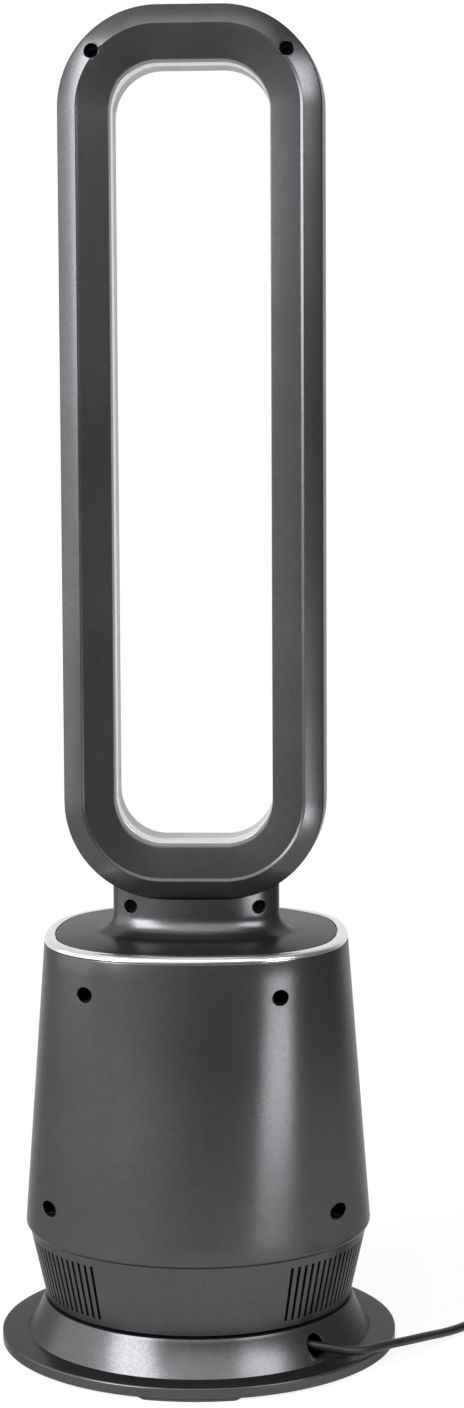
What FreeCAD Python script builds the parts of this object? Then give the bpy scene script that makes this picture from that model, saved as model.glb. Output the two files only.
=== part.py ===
"""Bladeless tower fan heater: swivelling tower on a round foot, with its mains lead put away in a coil.

Frame: +Z up, origin on the floor at the middle of the foot, rear side towards -Y, air outlet towards +Y.
Sizes are millimetres, kept in the spreadsheet "sizes".
"""
import FreeCAD, Part
import math
import os
import re
import Sketcher

V = FreeCAD.Vector
UP = V(0, 0, 1)
ALONG_Y = FreeCAD.Rotation(V(1, 0, 0), -90)
ALONG_X = FreeCAD.Rotation(V(0, 1, 0), 90)
UPSIDE_DOWN = FreeCAD.Rotation(V(1, 0, 0), 180)

# Driving sizes: name, value, meaning
SIZES = (
    ("base_radius", 140.0, "outer radius of the foot's rim"),
    ("base_wall", 3.0, "wall of the foot's shell"),
    ("rim_under", 1.8, "underside of the rim above the floor"),
    ("rim_top", 9.4, "flat top of the rim"),
    ("rim_edge", 1.2, "bevel of the rim's upper edge"),
    ("cone_hollow", 62.0, "radius of the cone's concave sweep"),
    ("lobe_under", 0.2, "underside of the foot lobes"),
    ("lobe_angle", 28.4, "arc of one foot lobe, degrees"),
    ("lobe_count", 3, "foot lobes round the rim"),
    ("plate_under", 3.0, "underside of the base plate"),
    ("plate_thick", 2.6, "base plate thickness"),
    ("pad_angle", 24.0, "arc of one rubber pad, degrees"),
    ("pad_width", 14.0, "radial width of the rubber pads"),
    ("plate_screw_count", 6, "base plate screws"),
    ("plate_screw_post", 4.5, "radius of the screw posts under the foot's top"),
    ("plate_screw_long", 12.0, "shank of a base plate screw"),
    ("hub_radius", 28.2, "swivel hub radius"),
    ("hub_bore", 22.0, "wire way through the hub"),
    ("hub_play", 0.1, "running gap round the hub"),
    ("fit_gap", 0.2, "gap between fitted pieces"),
    ("slide_gap", 0.3, "gap between sliding faces"),
    ("slide_width", 12.0, "width of the slide ring groove"),
    ("slide_sunk", 1.2, "depth of the slide ring groove"),
    ("swivel_gap", 2.2, "visible gap between foot and tower"),
    ("gear_module", 1.5, "tooth module of the swing drive"),
    ("gear_teeth", 48, "teeth on the swivel gear"),
    ("pinion_teeth", 18, "teeth on the swing pinion"),
    ("gear_play", 0.3, "backlash of the swing drive"),
    ("gear_thick", 7.0, "swivel gear thickness"),
    ("gear_bore", 20.0, "wire way through the swivel gear"),
    ("gear_screw_count", 4, "screws through the swivel gear"),
    ("gear_screw_long", 11.0, "shank of a swivel gear screw"),
    ("pinion_thick", 6.4, "swing pinion thickness"),
    ("swing_shaft_radius", 2.5, "swing motor shaft radius"),
    ("swing_shaft_sunk", 10.0, "shaft length inside the swing motor"),
    ("swing_motor_radius", 21.0, "swing motor radius"),
    ("swing_motor_tall", 14.0, "swing motor height"),
    ("swing_boss_radius", 5.0, "collar round the swing shaft"),
    ("swing_boss_tall", 1.6, "height of that collar"),
    ("swing_ear_span", 60.0, "swing motor ears, tip to tip"),
    ("swing_ear_wide", 9.0, "swing motor ear width"),
    ("swing_ear_thick", 2.0, "swing motor ear thickness"),
    ("swing_screw_span", 51.0, "distance between the swing motor screws"),
    ("switch_long", 20.0, "tilt switch length"),
    ("switch_wide", 14.0, "tilt switch width"),
    ("switch_tall", 12.0, "tilt switch height"),
    ("switch_cap", 5.0, "radius of the tilt switch's ball cap"),
    ("switch_ahead", 60.0, "tilt switch place ahead of the axis"),
    ("grille_wall", 3.1, "grille ring wall at its foot"),
    ("grille_floor", 3.0, "floor of the grille ring"),
    ("slot_wide", 2.4, "intake slot width"),
    ("slot_count", 100, "intake slots"),
    ("slot_blank", 70.8, "angle of the blank rear panel, degrees"),
    ("spigot_tall", 8.0, "spigot that the covers sit round"),
    ("spigot_wall", 2.8, "wall of that spigot"),
    ("body_foot_radius", 120.6, "body radius at its lower edge"),
    ("body_bevel", 2.6, "height of the lower bevel"),
    ("body_top_half", 106.8, "half width of the body at its top"),
    ("body_side_bend", 195.0, "bend radius of the body's sides at its top"),
    ("body_corner_bend", 80.0, "bend radius of the body's corners at its top"),
    ("body_wall", 2.8, "wall of the body covers"),
    ("split_gap", 0.2, "gap between front and rear halves"),
    ("cover_hole_radius", 4.75, "screw recess in the rear cover"),
    ("cover_tube_wall", 1.65, "wall of the recess tubes"),
    ("cover_seat", 12.0, "screw seats behind the split"),
    ("cover_seat_thick", 2.5, "screw seat thickness"),
    ("cover_post", 4.6, "radius of the front cover's screw posts"),
    ("cover_screw_long", 18.0, "shank of a cover screw"),
    ("screw_radius", 1.75, "screw shank radius"),
    ("screw_head", 3.6, "screw head radius"),
    ("screw_head_tall", 2.4, "screw head height"),
    ("small_screw_radius", 1.25, "small screw shank radius"),
    ("small_screw_head", 2.4, "small screw head radius"),
    ("small_screw_head_tall", 1.6, "small screw head height"),
    ("trim_tall", 4.0, "height of the trim ring over the covers"),
    ("trim_spigot", 3.2, "trim ring spigot inside the covers"),
    ("trim_ledge", 6.5, "ledge that carries the deck"),
    ("deck_thick", 3.2, "deck thickness"),
    ("neck_half_wide", 58.5, "half width of the neck"),
    ("neck_half_deep", 29.0, "half depth of the neck"),
    ("neck_wall", 3.0, "wall of the neck"),
    ("neck_flare", 14.0, "fillet from neck to deck"),
    ("neck_hole_radius", 4.25, "screw recess in the neck"),
    ("neck_tube_wall", 1.35, "wall of the neck's recess tubes"),
    ("neck_seat", 10.0, "neck screw seats behind the split"),
    ("neck_screw_long", 14.0, "shank of a neck screw"),
    ("duct_corner", 12.0, "corner radius of the air way"),
    ("loop_half", 89.9, "half width of the loop at its rear outer edge"),
    ("loop_corner", 68.5, "outer corner radius of the loop's rear edge"),
    ("loop_draft", 2.2, "widening of the loop from rear edge to split"),
    ("loop_band_out", 13.7, "width of the loop's sloped outer band"),
    ("loop_band_in", 21.4, "width of the loop's inner band"),
    ("loop_end_extra", 2.1, "further width of both bands at the loop's ends"),
    ("loop_rear", 36.5, "ridge of the loop behind the axis"),
    ("loop_band_drop", 7.0, "drop of the outer band towards the front"),
    ("loop_band_dip", 3.5, "dip of the inner band towards the opening"),
    ("loop_front", 36.5, "front of the loop ahead of the axis"),
    ("loop_front_round", 9.0, "rounding of the loop's front edge"),
    ("loop_wall", 2.4, "wall of the loop's shells"),
    ("outlet_behind", 14.0, "air slot behind the axis"),
    ("outlet_slot", 1.5, "width of the air slot"),
    ("loop_hole_drop", 31.0, "loop recesses, below the loop's top"),
    ("loop_hole_radius", 4.5, "screw recess in the loop"),
    ("loop_tube_wall", 1.5, "wall of the loop's recess tubes"),
    ("loop_seat", 10.0, "loop screw seats behind the split"),
    ("loop_post", 4.0, "radius of the loop's front screw posts"),
    ("loop_screw_long", 16.0, "shank of a loop screw"),
    ("loop_duct_half_wide", 34.0, "half width of the air way into the loop"),
    ("window_half", 34.0, "half width of the control window"),
    ("window_tall", 27.0, "height of the control window"),
    ("window_corner", 6.0, "corner radius of the control window"),
    ("board_thick", 1.6, "circuit board thickness"),
    ("control_board_half", 46.0, "half width of the control board"),
    ("control_board_tall", 24.0, "height of the control board"),
    ("control_post", 3.0, "radius of the control board posts"),
    ("bell_thick", 2.5, "inlet plate thickness"),
    ("bell_tall", 16.0, "inlet height over the spigot"),
    ("housing_wall", 2.5, "fan housing wall"),
    ("housing_screw_count", 4, "fan housing screws"),
    ("housing_screw_long", 10.0, "shank of a fan housing screw"),
    ("housing_post", 4.2, "radius of the inlet's screw posts"),
    ("housing_post_tall", 9.0, "height of the inlet's screw posts"),
    ("pod_radius", 38.0, "motor pod radius"),
    ("pod_wall", 2.5, "motor pod wall"),
    ("pod_tall", 46.0, "motor pod height"),
    ("vane_count", 9, "guide vanes"),
    ("vane_thick", 2.0, "guide vane thickness"),
    ("vane_tall", 18.0, "guide vane height"),
    ("motor_radius", 30.0, "fan motor radius"),
    ("motor_tall", 37.5, "fan motor height"),
    ("bearing_radius", 8.0, "motor bearing outer radius"),
    ("bearing_tall", 5.0, "motor bearing height"),
    ("damper_tall", 8.0, "rubber damper height"),
    ("damper_inset", 2.5, "rubber dampers from the motor's ends"),
    ("shaft_radius", 4.0, "fan shaft radius"),
    ("shaft_play", 0.05, "running gap round the fan shaft"),
    ("impeller_eye", 12.0, "impeller hub radius at its lower end"),
    ("impeller_hub", 30.0, "impeller hub radius at its back plate"),
    ("impeller_plate", 3.0, "impeller back plate thickness"),
    ("blade_count", 9, "impeller blades"),
    ("blade_thick", 2.0, "blade thickness"),
    ("blade_inner", 18.0, "inner end of the blades"),
    ("blade_tip_gap", 0.5, "blades inside the impeller's edge"),
    ("blade_sweep", 48.0, "angle that a blade sweeps back, degrees"),
    ("nut_wide", 6.5, "corner radius of the impeller nut"),
    ("nut_tall", 4.0, "impeller nut height"),
    ("heater_side_gap", 4.6, "gap between the heater frame and the nearer recess tube"),
    ("heater_half_deep", 38.0, "half depth of the heater frame"),
    ("heater_corner", 6.0, "corner radius of the heater frame"),
    ("heater_wall", 3.0, "wall of the heater frame"),
    ("heater_ledge", 10.0, "height of the ledge under the heater core"),
    ("core_tall", 30.0, "height of the heater core"),
    ("bar_count", 4, "heating bars"),
    ("bar_thick", 6.0, "heating bar thickness"),
    ("fin_count", 15, "openings in one fin stack"),
    ("fin_thick", 1.2, "fin thickness"),
    ("cutout_radius", 8.0, "thermal cut-out radius"),
    ("cutout_long", 10.0, "thermal cut-out length"),
    ("gasket_tall", 3.2, "foam gasket height"),
    ("power_board_half", 46.0, "half width of the power board"),
    ("power_board_tall", 80.0, "height of the power board"),
    ("guide_half", 3.5, "half width of the board guides"),
    ("guide_tall", 34.0, "height of the board guides"),
    ("part_lift", 0.1, "gap under parts on the power board"),
    ("cord_radius", 3.1, "mains lead radius"),
    ("cord_hole_radius", 7.7, "hole in the foot's cone"),
    ("cord_hole_angle", 46.8, "hole, degrees from the rear towards +X"),
    ("cord_hole_height", 19.1, "height of that hole"),
    ("relief_long", 26.0, "strain relief length"),
    ("relief_head_long", 9.0, "length of its thick end"),
    ("relief_radius", 5.2, "radius of its thick end"),
    ("relief_tip", 4.1, "radius of its thin end"),
    ("relief_play", 0.3, "gap between lead and strain relief"),
    ("clamp_long", 7.0, "cord clamp length along the lead"),
    ("clamp_half", 13.0, "half width of the cord clamp"),
    ("clamp_tall", 6.8, "height of the cord clamp over the lead's axis"),
    ("clamp_screw_side", 9.2, "clamp screws beside the lead's axis"),
    ("clamp_screw_long", 14.0, "shank of a clamp screw"),
    ("coil_x", 258.9, "middle of the coil, right of the axis"),
    ("coil_y", 24.2, "middle of the coil, ahead of the axis"),
    ("coil_outer", 46.4, "radius of the coil's outer turn"),
    ("coil_step", 6.9, "step from turn to turn and layer to layer"),
    ("coil_low", 4.2, "height of the lower layer's middle"),
    ("coil_start", 140.0, "angle where the lead joins the coil, degrees"),
    ("coil_end", -20.0, "angle where the coil lets the plug out, degrees"),
    ("coil_turns", 6, "full turns besides those angles"),
    ("tie_angle", 60.0, "angle of the tie round the coil, degrees"),
    ("tie_thick", 0.7, "tie thickness"),
    ("tie_wide", 9.0, "tie width"),
    ("tie_gap", 0.3, "gap between tie and coil"),
    ("plug_radius", 18.5, "plug radius"),
    ("plug_long", 36.0, "plug body length"),
    ("plug_round", 5.0, "rounding of the plug body"),
    ("boot_long", 26.0, "length of the plug's boot"),
    ("boot_tip", 4.4, "boot radius at the lead"),
    ("boot_root", 7.5, "boot radius at the plug"),
    ("pin_radius", 2.4, "plug pin radius"),
    ("pin_long", 19.0, "plug pin length"),
    ("pin_spacing", 19.0, "distance between the plug pins"),
    ("rim_wide", 18.0, "flat rim round the foot's cone"),
    ("cone_run", 12.5, "cone's foot radius over its top radius"),
    ("pad_inset", 3.0, "rubber pads inside the rim's wall"),
    ("post_inset", 11.5, "screw circle inside the cone's top edge"),
    ("slide_inset", 14.5, "slide ring groove inside the cone's top edge"),
    ("pinion_lift", 1.3, "swing pinion over the swing motor's collar"),
    ("grille_step", 0.8, "intake ring inside the covers' lower edge"),
    ("grille_taper", 11.3, "intake ring's top radius over its foot radius"),
    ("grille_tall", 50.0, "intake ring height"),
    ("slot_sill", 1.8, "intake slots over the ring's floor"),
    ("slot_margin", 6.0, "intake slots below the ring's top"),
    ("body_flare", 1.7, "widening of the covers' lower bevel"),
    ("trim_wide", 7.5, "width of the trim ring seen from above"),
    ("cover_left_inset", 34.9, "upper left recess inside the body's side"),
    ("cover_right_inset", 45.8, "upper right recess inside the body's side"),
    ("cover_high_drop", 24.9, "upper recesses below the covers' top"),
    ("cover_low_inset", 22.9, "lower recesses inside the body's side"),
    ("cover_low_rise", 26.0, "lower recesses over the covers' lower edge"),
    ("neck_flat", 1.0, "half length of the neck's straight ends"),
    ("neck_hole_inset", 13.6, "neck recesses inside the neck's side"),
    ("neck_hole_rise", 19.9, "neck recesses over the deck"),
    ("neck_rise", 26.5, "loop's lowest edge over the deck"),
    ("duct_step_wide", 9.5, "deck's air way inside the neck, sideways"),
    ("duct_step_deep", 2.0, "deck's air way inside the neck, front to rear"),
    ("loop_tall", 611.0, "height of the loop at its rear outer edge"),
    ("loop_hole_inset", 23.9, "loop recesses inside the loop's side"),
    ("window_drop", 50.6, "control window's lower edge below the covers' top"),
    ("control_setback", 8.2, "control board behind the covers' wall"),
    ("control_post_inset", 5.5, "control board posts inside its ends"),
    ("housing_inset", 19.5, "fan housing's foot inside the inlet plate"),
    ("flange_wide", 16.0, "width of the fan housing's foot"),
    ("screw_inset", 7.0, "fan housing screws inside its foot"),
    ("outlet_step", 24.0, "fan housing narrows to its outlet"),
    ("outlet_rim", 8.0, "rim round the fan housing's outlet"),
    ("housing_tall", 70.5, "height of the fan housing's round part"),
    ("housing_cone_tall", 40.0, "height of the fan housing's cone"),
    ("duct_tall", 17.3, "air duct height"),
    ("heater_tall", 64.0, "heater frame height"),
    ("fan_gap", 9.5, "gap between impeller and fan housing"),
    ("throat_step", 8.0, "inlet throat inside the impeller"),
    ("mouth_step", 14.0, "inlet mouth outside the throat"),
    ("pod_rise", 45.5, "motor pod over the inlet plate"),
    ("vane_rise", 5.0, "guide vanes over the pod's underside"),
    ("motor_lift", 1.0, "fan motor over the pod's floor"),
    ("shaft_tip", 3.0, "fan shaft past nut and motor"),
    ("impeller_gap", 6.0, "impeller below the motor pod"),
    ("impeller_tall", 22.0, "impeller height"),
    ("blade_drop", 1.0, "blades below the impeller hub"),
    ("cutout_rise", 18.0, "thermal cut-out over the heater frame's foot"),
    ("board_inset", 17.7, "power board inside the inlet plate's edge"),
    ("clamp_setback", 1.0, "cord clamp from the strain relief's end"),
    ("capacitor_radius", 8.0, "large capacitor radius"),
    ("capacitor_tall", 14.0, "large capacitor height"),
    ("filter_radius", 6.0, "small capacitor radius"),
    ("filter_tall", 12.0, "small capacitor height"),
    ("relay_long", 19.0, "relay length"),
    ("relay_wide", 15.0, "relay width"),
    ("relay_tall", 13.0, "relay height"),
    ("terminal_long", 30.0, "terminal block length"),
    ("terminal_wide", 12.0, "terminal block width"),
    ("terminal_tall", 9.0, "terminal block height"),
    ("part_side", 28.0, "board parts beside the board's middle"),
    ("part_high", 22.0, "upper board parts over the board's middle"),
)
NAMES = {name for name, value, meaning in SIZES}
WORD = re.compile(r"[a-z_]+")
# Sizes that follow from the driving ones
FOLLOWS = {
    "cone_top": "plate_under + plate_thick + swing_motor_tall + swing_boss_tall + pinion_lift + gear_thick"
                " + slide_gap + base_wall",
    "cone_foot_radius": "base_radius - rim_wide",
    "cone_top_radius": "cone_foot_radius - cone_run",
    "pad_outer": "base_radius - base_wall - pad_inset",
    "plate_screw_ring": "cone_top_radius - post_inset",
    "slide_inner": "cone_top_radius - slide_inset - slide_width",
    "floor_low": "cone_top + swivel_gap",
    "grille_top": "floor_low + grille_tall",
    "grille_top_radius": "body_foot_radius - grille_step",
    "grille_foot_radius": "grille_top_radius - grille_taper",
    "spigot_radius": "body_foot_radius - body_wall - slide_gap",
    "slot_low": "floor_low + grille_floor + slot_sill",
    "slot_high": "grille_top - slot_margin",
    "inlet_low": "grille_top + spigot_tall",
    "inlet_top": "inlet_low + bell_thick",
    "body_low_radius": "body_foot_radius + body_flare",
    "housing_shoulder": "inlet_top + housing_tall",
    "housing_top": "housing_shoulder + housing_cone_tall",
    "heater_low": "housing_top + duct_tall",
    "heater_top": "heater_low + heater_tall",
    "deck_low": "heater_top + gasket_tall + fit_gap",
    "deck_top": "deck_low + deck_thick",
    "body_top": "deck_top - trim_tall",
    "trim_inner_half": "body_top_half - trim_wide",
    "cover_high_left": "body_top_half - cover_left_inset",
    "cover_high_right": "body_top_half - cover_right_inset",
    "cover_high": "body_top - cover_high_drop",
    "cover_low_side": "body_low_radius - cover_low_inset",
    "cover_low": "grille_top + cover_low_rise",
    "neck_corner": "neck_half_deep - neck_flat",
    "neck_hole": "deck_top + neck_hole_rise",
    "neck_hole_side": "neck_half_wide - neck_hole_inset",
    "duct_half_wide": "neck_half_wide - neck_wall - duct_step_wide",
    "duct_half_deep": "neck_half_deep - neck_wall - duct_step_deep",
    "loop_low": "deck_top + neck_rise",
    "loop_high": "loop_low + loop_tall",
    "loop_hole_side": "loop_half - loop_hole_inset",
    "window_low": "body_top - window_drop",
    "control_board_ahead": "body_top_half - body_wall - control_setback",
    "control_post_side": "control_board_half - control_post_inset",
    "housing_flange": "spigot_radius - housing_inset",
    "housing_radius": "housing_flange - flange_wide",
    "housing_screw_ring": "housing_flange - screw_inset",
    "housing_outlet": "housing_radius - outlet_step",
    "housing_rim": "housing_outlet + outlet_rim",
    "impeller_radius": "housing_radius - housing_wall - fan_gap",
    "bell_throat": "impeller_radius - throat_step",
    "bell_mouth": "bell_throat + mouth_step",
    "pod_low": "inlet_top + pod_rise",
    "vane_low": "pod_low + vane_rise",
    "motor_low": "pod_low + pod_wall + motor_lift",
    "impeller_top": "pod_low - impeller_gap",
    "impeller_low": "impeller_top - impeller_tall",
    "blade_low": "impeller_low - blade_drop",
    "shaft_low": "impeller_low - nut_tall - shaft_tip",
    "shaft_high": "motor_low + motor_tall + shaft_tip",
    "heater_half_wide": "cover_high_right - cover_hole_radius - cover_tube_wall - heater_side_gap",
    "cutout_height": "heater_low + cutout_rise",
    "power_board_behind": "spigot_radius - board_inset",
}

# Route of the lead from the clamp over the rim to the floor, up to where it meets the coil
LEAD_ROUTE = (
    (23.5, -57.8, 20.4),
    (56.0, -68.0, 20.4),
    (86.0, -79.5, 19.4),
    (111.5, -78.0, 14.2),
    (130.5, -61.5, 14.0),
    (147.5, -44.5, 11.9),
    (162.5, -24.5, 8.8),
    (177.0, -5.0, 5.2),
    (191.5, 14.0, 3.8),
)
# Last run before the coil, and the rise of the plug's lead: distance along it, height over its start
LEAD_LAST_RUN = 22.0
PLUG_LEAD = ((0.0, 0.0), (14.0, 0.0), (28.0, 2.6), (42.0, 6.0), (54.0, 7.9), (64.0, 8.1))
ARC_SHARE = 0.45

doc = FreeCAD.newDocument("fan_heater")
sheet = doc.addObject("Spreadsheet::Sheet", "sizes")
for row, (name, value, meaning) in enumerate(SIZES, start=1):
    sheet.set(f"A{row}", name)
    sheet.set(f"B{row}", str(value))
    sheet.set(f"C{row}", meaning)
    sheet.setAlias(f"B{row}", name)
doc.recompute()
nodes = []


def count(name):
    """Value of one whole number in the sheet."""
    return int(sheet.get(name))


def bound(text):
    """Expression for the sheet: following sizes written out, driving ones led by the sheet's name."""
    def full(word):
        name = word.group()
        if name in FOLLOWS:
            return "(" + bound(FOLLOWS[name]) + ")"
        return "sizes." + name if name in NAMES else name
    return WORD.sub(full, text)


def number(text):
    """Present value of an expression of sizes."""
    return float(sheet.evalExpression(bound(text)))


def size(name):
    """Present value of one size."""
    return float(sheet.get(name)) if name in NAMES else number(name)


def node(piece, label):
    """Keep a finished piece under its own label."""
    piece.Label = label
    nodes.append(piece)
    return piece


def primitive(kind, name, place=("0", "0", "0"), turn=None, **sizes):
    """Part primitive whose sizes and place are bound to the sheet."""
    piece = doc.addObject(kind, name)
    if turn is not None:
        piece.Placement = FreeCAD.Placement(V(), turn)
    for key, text in sizes.items():
        piece.setExpression(key, bound(text))
    for axis, text in zip("xyz", place):
        if text != "0":
            piece.setExpression("Placement.Base." + axis, bound(text))
    return piece


def cylinder(name, radius, height, place=("0", "0", "0"), turn=None, angle="360"):
    """Cylinder that stands on its place, or lies along the turned axis."""
    return primitive("Part::Cylinder", name, place, turn, Radius=radius, Height=height, Angle=angle)


def box(name, length, width, height, place):
    """Box from its lowest corner."""
    return primitive("Part::Box", name, place, Length=length, Width=width, Height=height)


def group(name, pieces):
    """Separate solids held as one piece."""
    whole = doc.addObject("Part::Compound", name)
    whole.Links = pieces
    return whole


def join(name, pieces):
    """Solids fused into one."""
    whole = doc.addObject("Part::MultiFuse", name)
    whole.Shapes = pieces
    return whole


def cut(name, base, tools):
    """One solid less a list of others."""
    rest = doc.addObject("Part::Cut", name)
    rest.Base = base
    rest.Tool = tools[0] if len(tools) == 1 else group(name + "_tools", tools)
    return rest


def shaped(name, shape):
    """Piece whose shape is worked out here from the sheet's sizes."""
    piece = doc.addObject("Part::Feature", name)
    piece.Shape = shape
    return piece


def polar(total, start=0.0):
    """Angles in radians of a full circle of places."""
    return [math.radians(start) + 2 * math.pi * k / total for k in range(total)]


def ring_places(radius, total, start=0.0):
    """Expressions of X and Y for places on a circle bound to the sheet."""
    places = []
    for k in range(total):
        angle = f"({start} + 360 * {k} / {total})"
        places.append((f"{radius} * cos({angle})", f"{radius} * sin({angle})"))
    return places


def arc_between(start, end, radius):
    """Arc in a sketch that turns clockwise from start to end."""
    chord = end - start
    side = V(chord.y, -chord.x, 0).normalize()
    centre = (start + end) * 0.5 + side * math.sqrt(radius ** 2 - (chord.Length / 2) ** 2)
    first = math.atan2(end.y - centre.y, end.x - centre.x)
    last = math.atan2(start.y - centre.y, start.x - centre.x)
    return Part.ArcOfCircle(Part.Circle(centre, UP, radius), first, last)


def lathe(name, outline):
    """Body turned about Z from corners (radius, height), or (radius, height, hollow arc to the next)."""
    body = doc.addObject("PartDesign::Body", name)
    sketch = body.newObject("Sketcher::SketchObject", name + "_outline")
    plane = next(part for part in body.Origin.OriginFeatures if part.Role == "XZ_Plane")
    sketch.AttachmentSupport = [(plane, "")]
    sketch.MapMode = "FlatFace"
    doc.recompute()
    corners = [V(number(corner[0]), number(corner[1]), 0) for corner in outline]
    following = corners[1:] + corners[:1]
    ends = []
    for corner, start, end in zip(outline, corners, following):
        if len(corner) == 3:
            sketch.addGeometry(arc_between(start, end, number(corner[2])))
            ends.append((2, 1))
        else:
            sketch.addGeometry(Part.LineSegment(start, end))
            ends.append((1, 2))
    last = len(outline) - 1
    for k in range(last + 1):
        after = 0 if k == last else k + 1
        sketch.addConstraint(Sketcher.Constraint("Coincident", k, ends[k][1], after, ends[after][0]))
    for k, (corner, spot) in enumerate(zip(outline, corners)):
        for kind, text, value in (("DistanceX", corner[0], spot.x), ("DistanceY", corner[1], spot.y)):
            mark = sketch.addConstraint(Sketcher.Constraint(kind, -1, 1, k, ends[k][0], value))
            sketch.setExpression(f"Constraints[{mark}]", bound(text))
        if len(corner) == 3:
            mark = sketch.addConstraint(Sketcher.Constraint("Radius", k, number(corner[2])))
            sketch.setExpression(f"Constraints[{mark}]", bound(corner[2]))
    turned = body.newObject("PartDesign::Revolution", name + "_turned")
    turned.Profile = sketch
    turned.ReferenceAxis = (sketch, ["V_Axis"])
    turned.Angle = 360
    doc.recompute()
    return body


def tube(name, outer, inner, low, tall):
    """Turned ring between two radii."""
    top = f"{low} + {tall}"
    return lathe(name, [(inner, low), (outer, low), (outer, top), (inner, top)])


def screw(name, place, turn, head, head_tall, shank, long):
    """Screw whose head sits on its place and whose shank points along the turned axis."""
    body = cylinder(name + "_shank", shank, long, place, turn)
    cap = cylinder(name + "_head", head, head_tall, place, turn.multiply(UPSIDE_DOWN))
    return join(name, [body, cap])


def oblong(half_u, half_v, radius):
    """Eight stretches of a rounded rectangle, each by three points, from the +u side anticlockwise."""
    flat_u = half_u - radius
    flat_v = half_v - radius
    bow_u = flat_u + radius * math.sqrt(0.5)
    bow_v = flat_v + radius * math.sqrt(0.5)
    stretches = []
    for u, v in ((1, 1), (-1, 1), (-1, -1), (1, -1)):
        side_u = [(half_u * u, -flat_v * v), (half_u * u, 0), (half_u * u, flat_v * v)]
        corner = [(half_u * u, flat_v * v), (bow_u * u, bow_v * v), (flat_u * u, half_v * v)]
        side_v = [(flat_u * u, half_v * v), (0, half_v * v), (-flat_u * u, half_v * v)]
        stretches += [side_u, corner] if u == v else [side_v[::-1], corner[::-1]]
    return stretches


def squircle(half, side_bend, corner_bend):
    """Eight stretches of a square with bowed sides and round corners."""
    shift = half - side_bend
    lean = side_bend - corner_bend
    middle = (shift + math.sqrt(2 * lean ** 2 - shift ** 2)) / 2
    long = shift + side_bend * (middle - shift) / lean
    short = side_bend * middle / lean
    bow = middle + corner_bend * math.sqrt(0.5)
    return quarters((long, short), half, bow)


def circle(radius):
    """Eight equal stretches of a circle, split as the squircle is."""
    split = math.radians(22.5)
    return quarters((radius * math.cos(split), radius * math.sin(split)), radius, radius * math.sqrt(0.5))


def quarters(split, half, bow):
    """Eight stretches from one side and one corner, turned by quarters."""
    long, short = split
    side = [(long, -short), (half, 0), (long, short)]
    corner = [(long, short), (bow, bow), (short, long)]
    stretches = []
    for turn in range(4):
        stretches += [side, corner]
        side = [(-v, u) for u, v in side]
        corner = [(-v, u) for u, v in corner]
    return stretches


def flat_wire(stretches, height):
    """Level outline at a height."""
    return wire_of([[V(u, v, height) for u, v in stretch] for stretch in stretches])


def wire_of(stretches):
    """Closed wire of straight and round stretches given by three points each."""
    edges = []
    for start, middle, end in stretches:
        straight = (middle - start).cross(end - start).Length < 1e-6
        edges.append(Part.LineSegment(start, end) if straight else Part.Arc(start, middle, end))
    return Part.Wire([edge.toShape() for edge in edges])


def loft(wires):
    """Solid with straight sides from outline to outline."""
    return Part.makeLoft(wires, True, True)


def prism(stretches, low, high):
    """Upright solid of one outline."""
    return Part.Face(flat_wire(stretches, low)).extrude(V(0, 0, high - low))


def rod(x, y, z, radius, long):
    """Round solid along +Y from a point."""
    return Part.makeCylinder(radius, long, V(x, y, z), V(0, 1, 0))


# Foot
def base_shell():
    """Round foot: rim, concave cone, top with the hub's hole and the slide ring's groove."""
    top_under = "cone_top - base_wall"
    inside = "cone_top_radius - base_wall * 1.2"
    shell = lathe("foot_turned", [
        ("base_radius - base_wall", "rim_under"),
        ("base_radius", "rim_under"),
        ("base_radius", "rim_top - rim_edge"),
        ("base_radius - rim_edge", "rim_top"),
        ("cone_foot_radius", "rim_top", "cone_hollow"),
        ("cone_top_radius", "cone_top"),
        ("slide_inner + slide_width", "cone_top"),
        ("slide_inner + slide_width", "cone_top - slide_sunk"),
        ("slide_inner", "cone_top - slide_sunk"),
        ("slide_inner", "cone_top"),
        ("hub_radius + hub_play", "cone_top"),
        ("hub_radius + hub_play", top_under),
        (inside, top_under),
        ("cone_foot_radius - base_wall", "rim_top - base_wall"),
        ("base_radius - base_wall", "rim_top - base_wall"),
    ])
    parts = [shell]
    for k in range(count("lobe_count")):
        turn = FreeCAD.Rotation(UP, -90 - size("lobe_angle") / 2 + 360 * k / count("lobe_count"))
        low = ("0", "0", "lobe_under")
        tall = "rim_under - lobe_under + base_wall / 2"
        block = cylinder(f"lobe_block_{k}", "base_radius", tall, low, turn, "lobe_angle")
        core = cylinder(f"lobe_core_{k}", "base_radius - base_wall", tall, low)
        parts.append(cut(f"lobe_{k}", block, [core]))
    holes = []
    post_low = "plate_under + plate_thick"
    for k, (x, y) in enumerate(ring_places("plate_screw_ring", count("plate_screw_count"))):
        post_tall = "cone_top - base_wall / 2 - plate_under - plate_thick"
        parts.append(cylinder(f"foot_post_{k}", "plate_screw_post", post_tall, (x, y, post_low)))
        hole_tall = "plate_screw_long"
        holes.append(cylinder(f"foot_pilot_{k}", "screw_radius + hub_play", hole_tall, (x, y, "plate_under")))
    angle = "(cord_hole_angle - 90)"
    reach = "cone_foot_radius * 0.6"
    turn = FreeCAD.Rotation(UP, size("cord_hole_angle") - 90).multiply(ALONG_X)
    start = (f"{reach} * cos{angle}", f"{reach} * sin{angle}", "cord_hole_height")
    holes.append(cylinder("cord_hole", "cord_hole_radius", "base_radius", start, turn))
    node(cut("foot", join("foot_solid", parts), holes), "base_shell")


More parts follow.
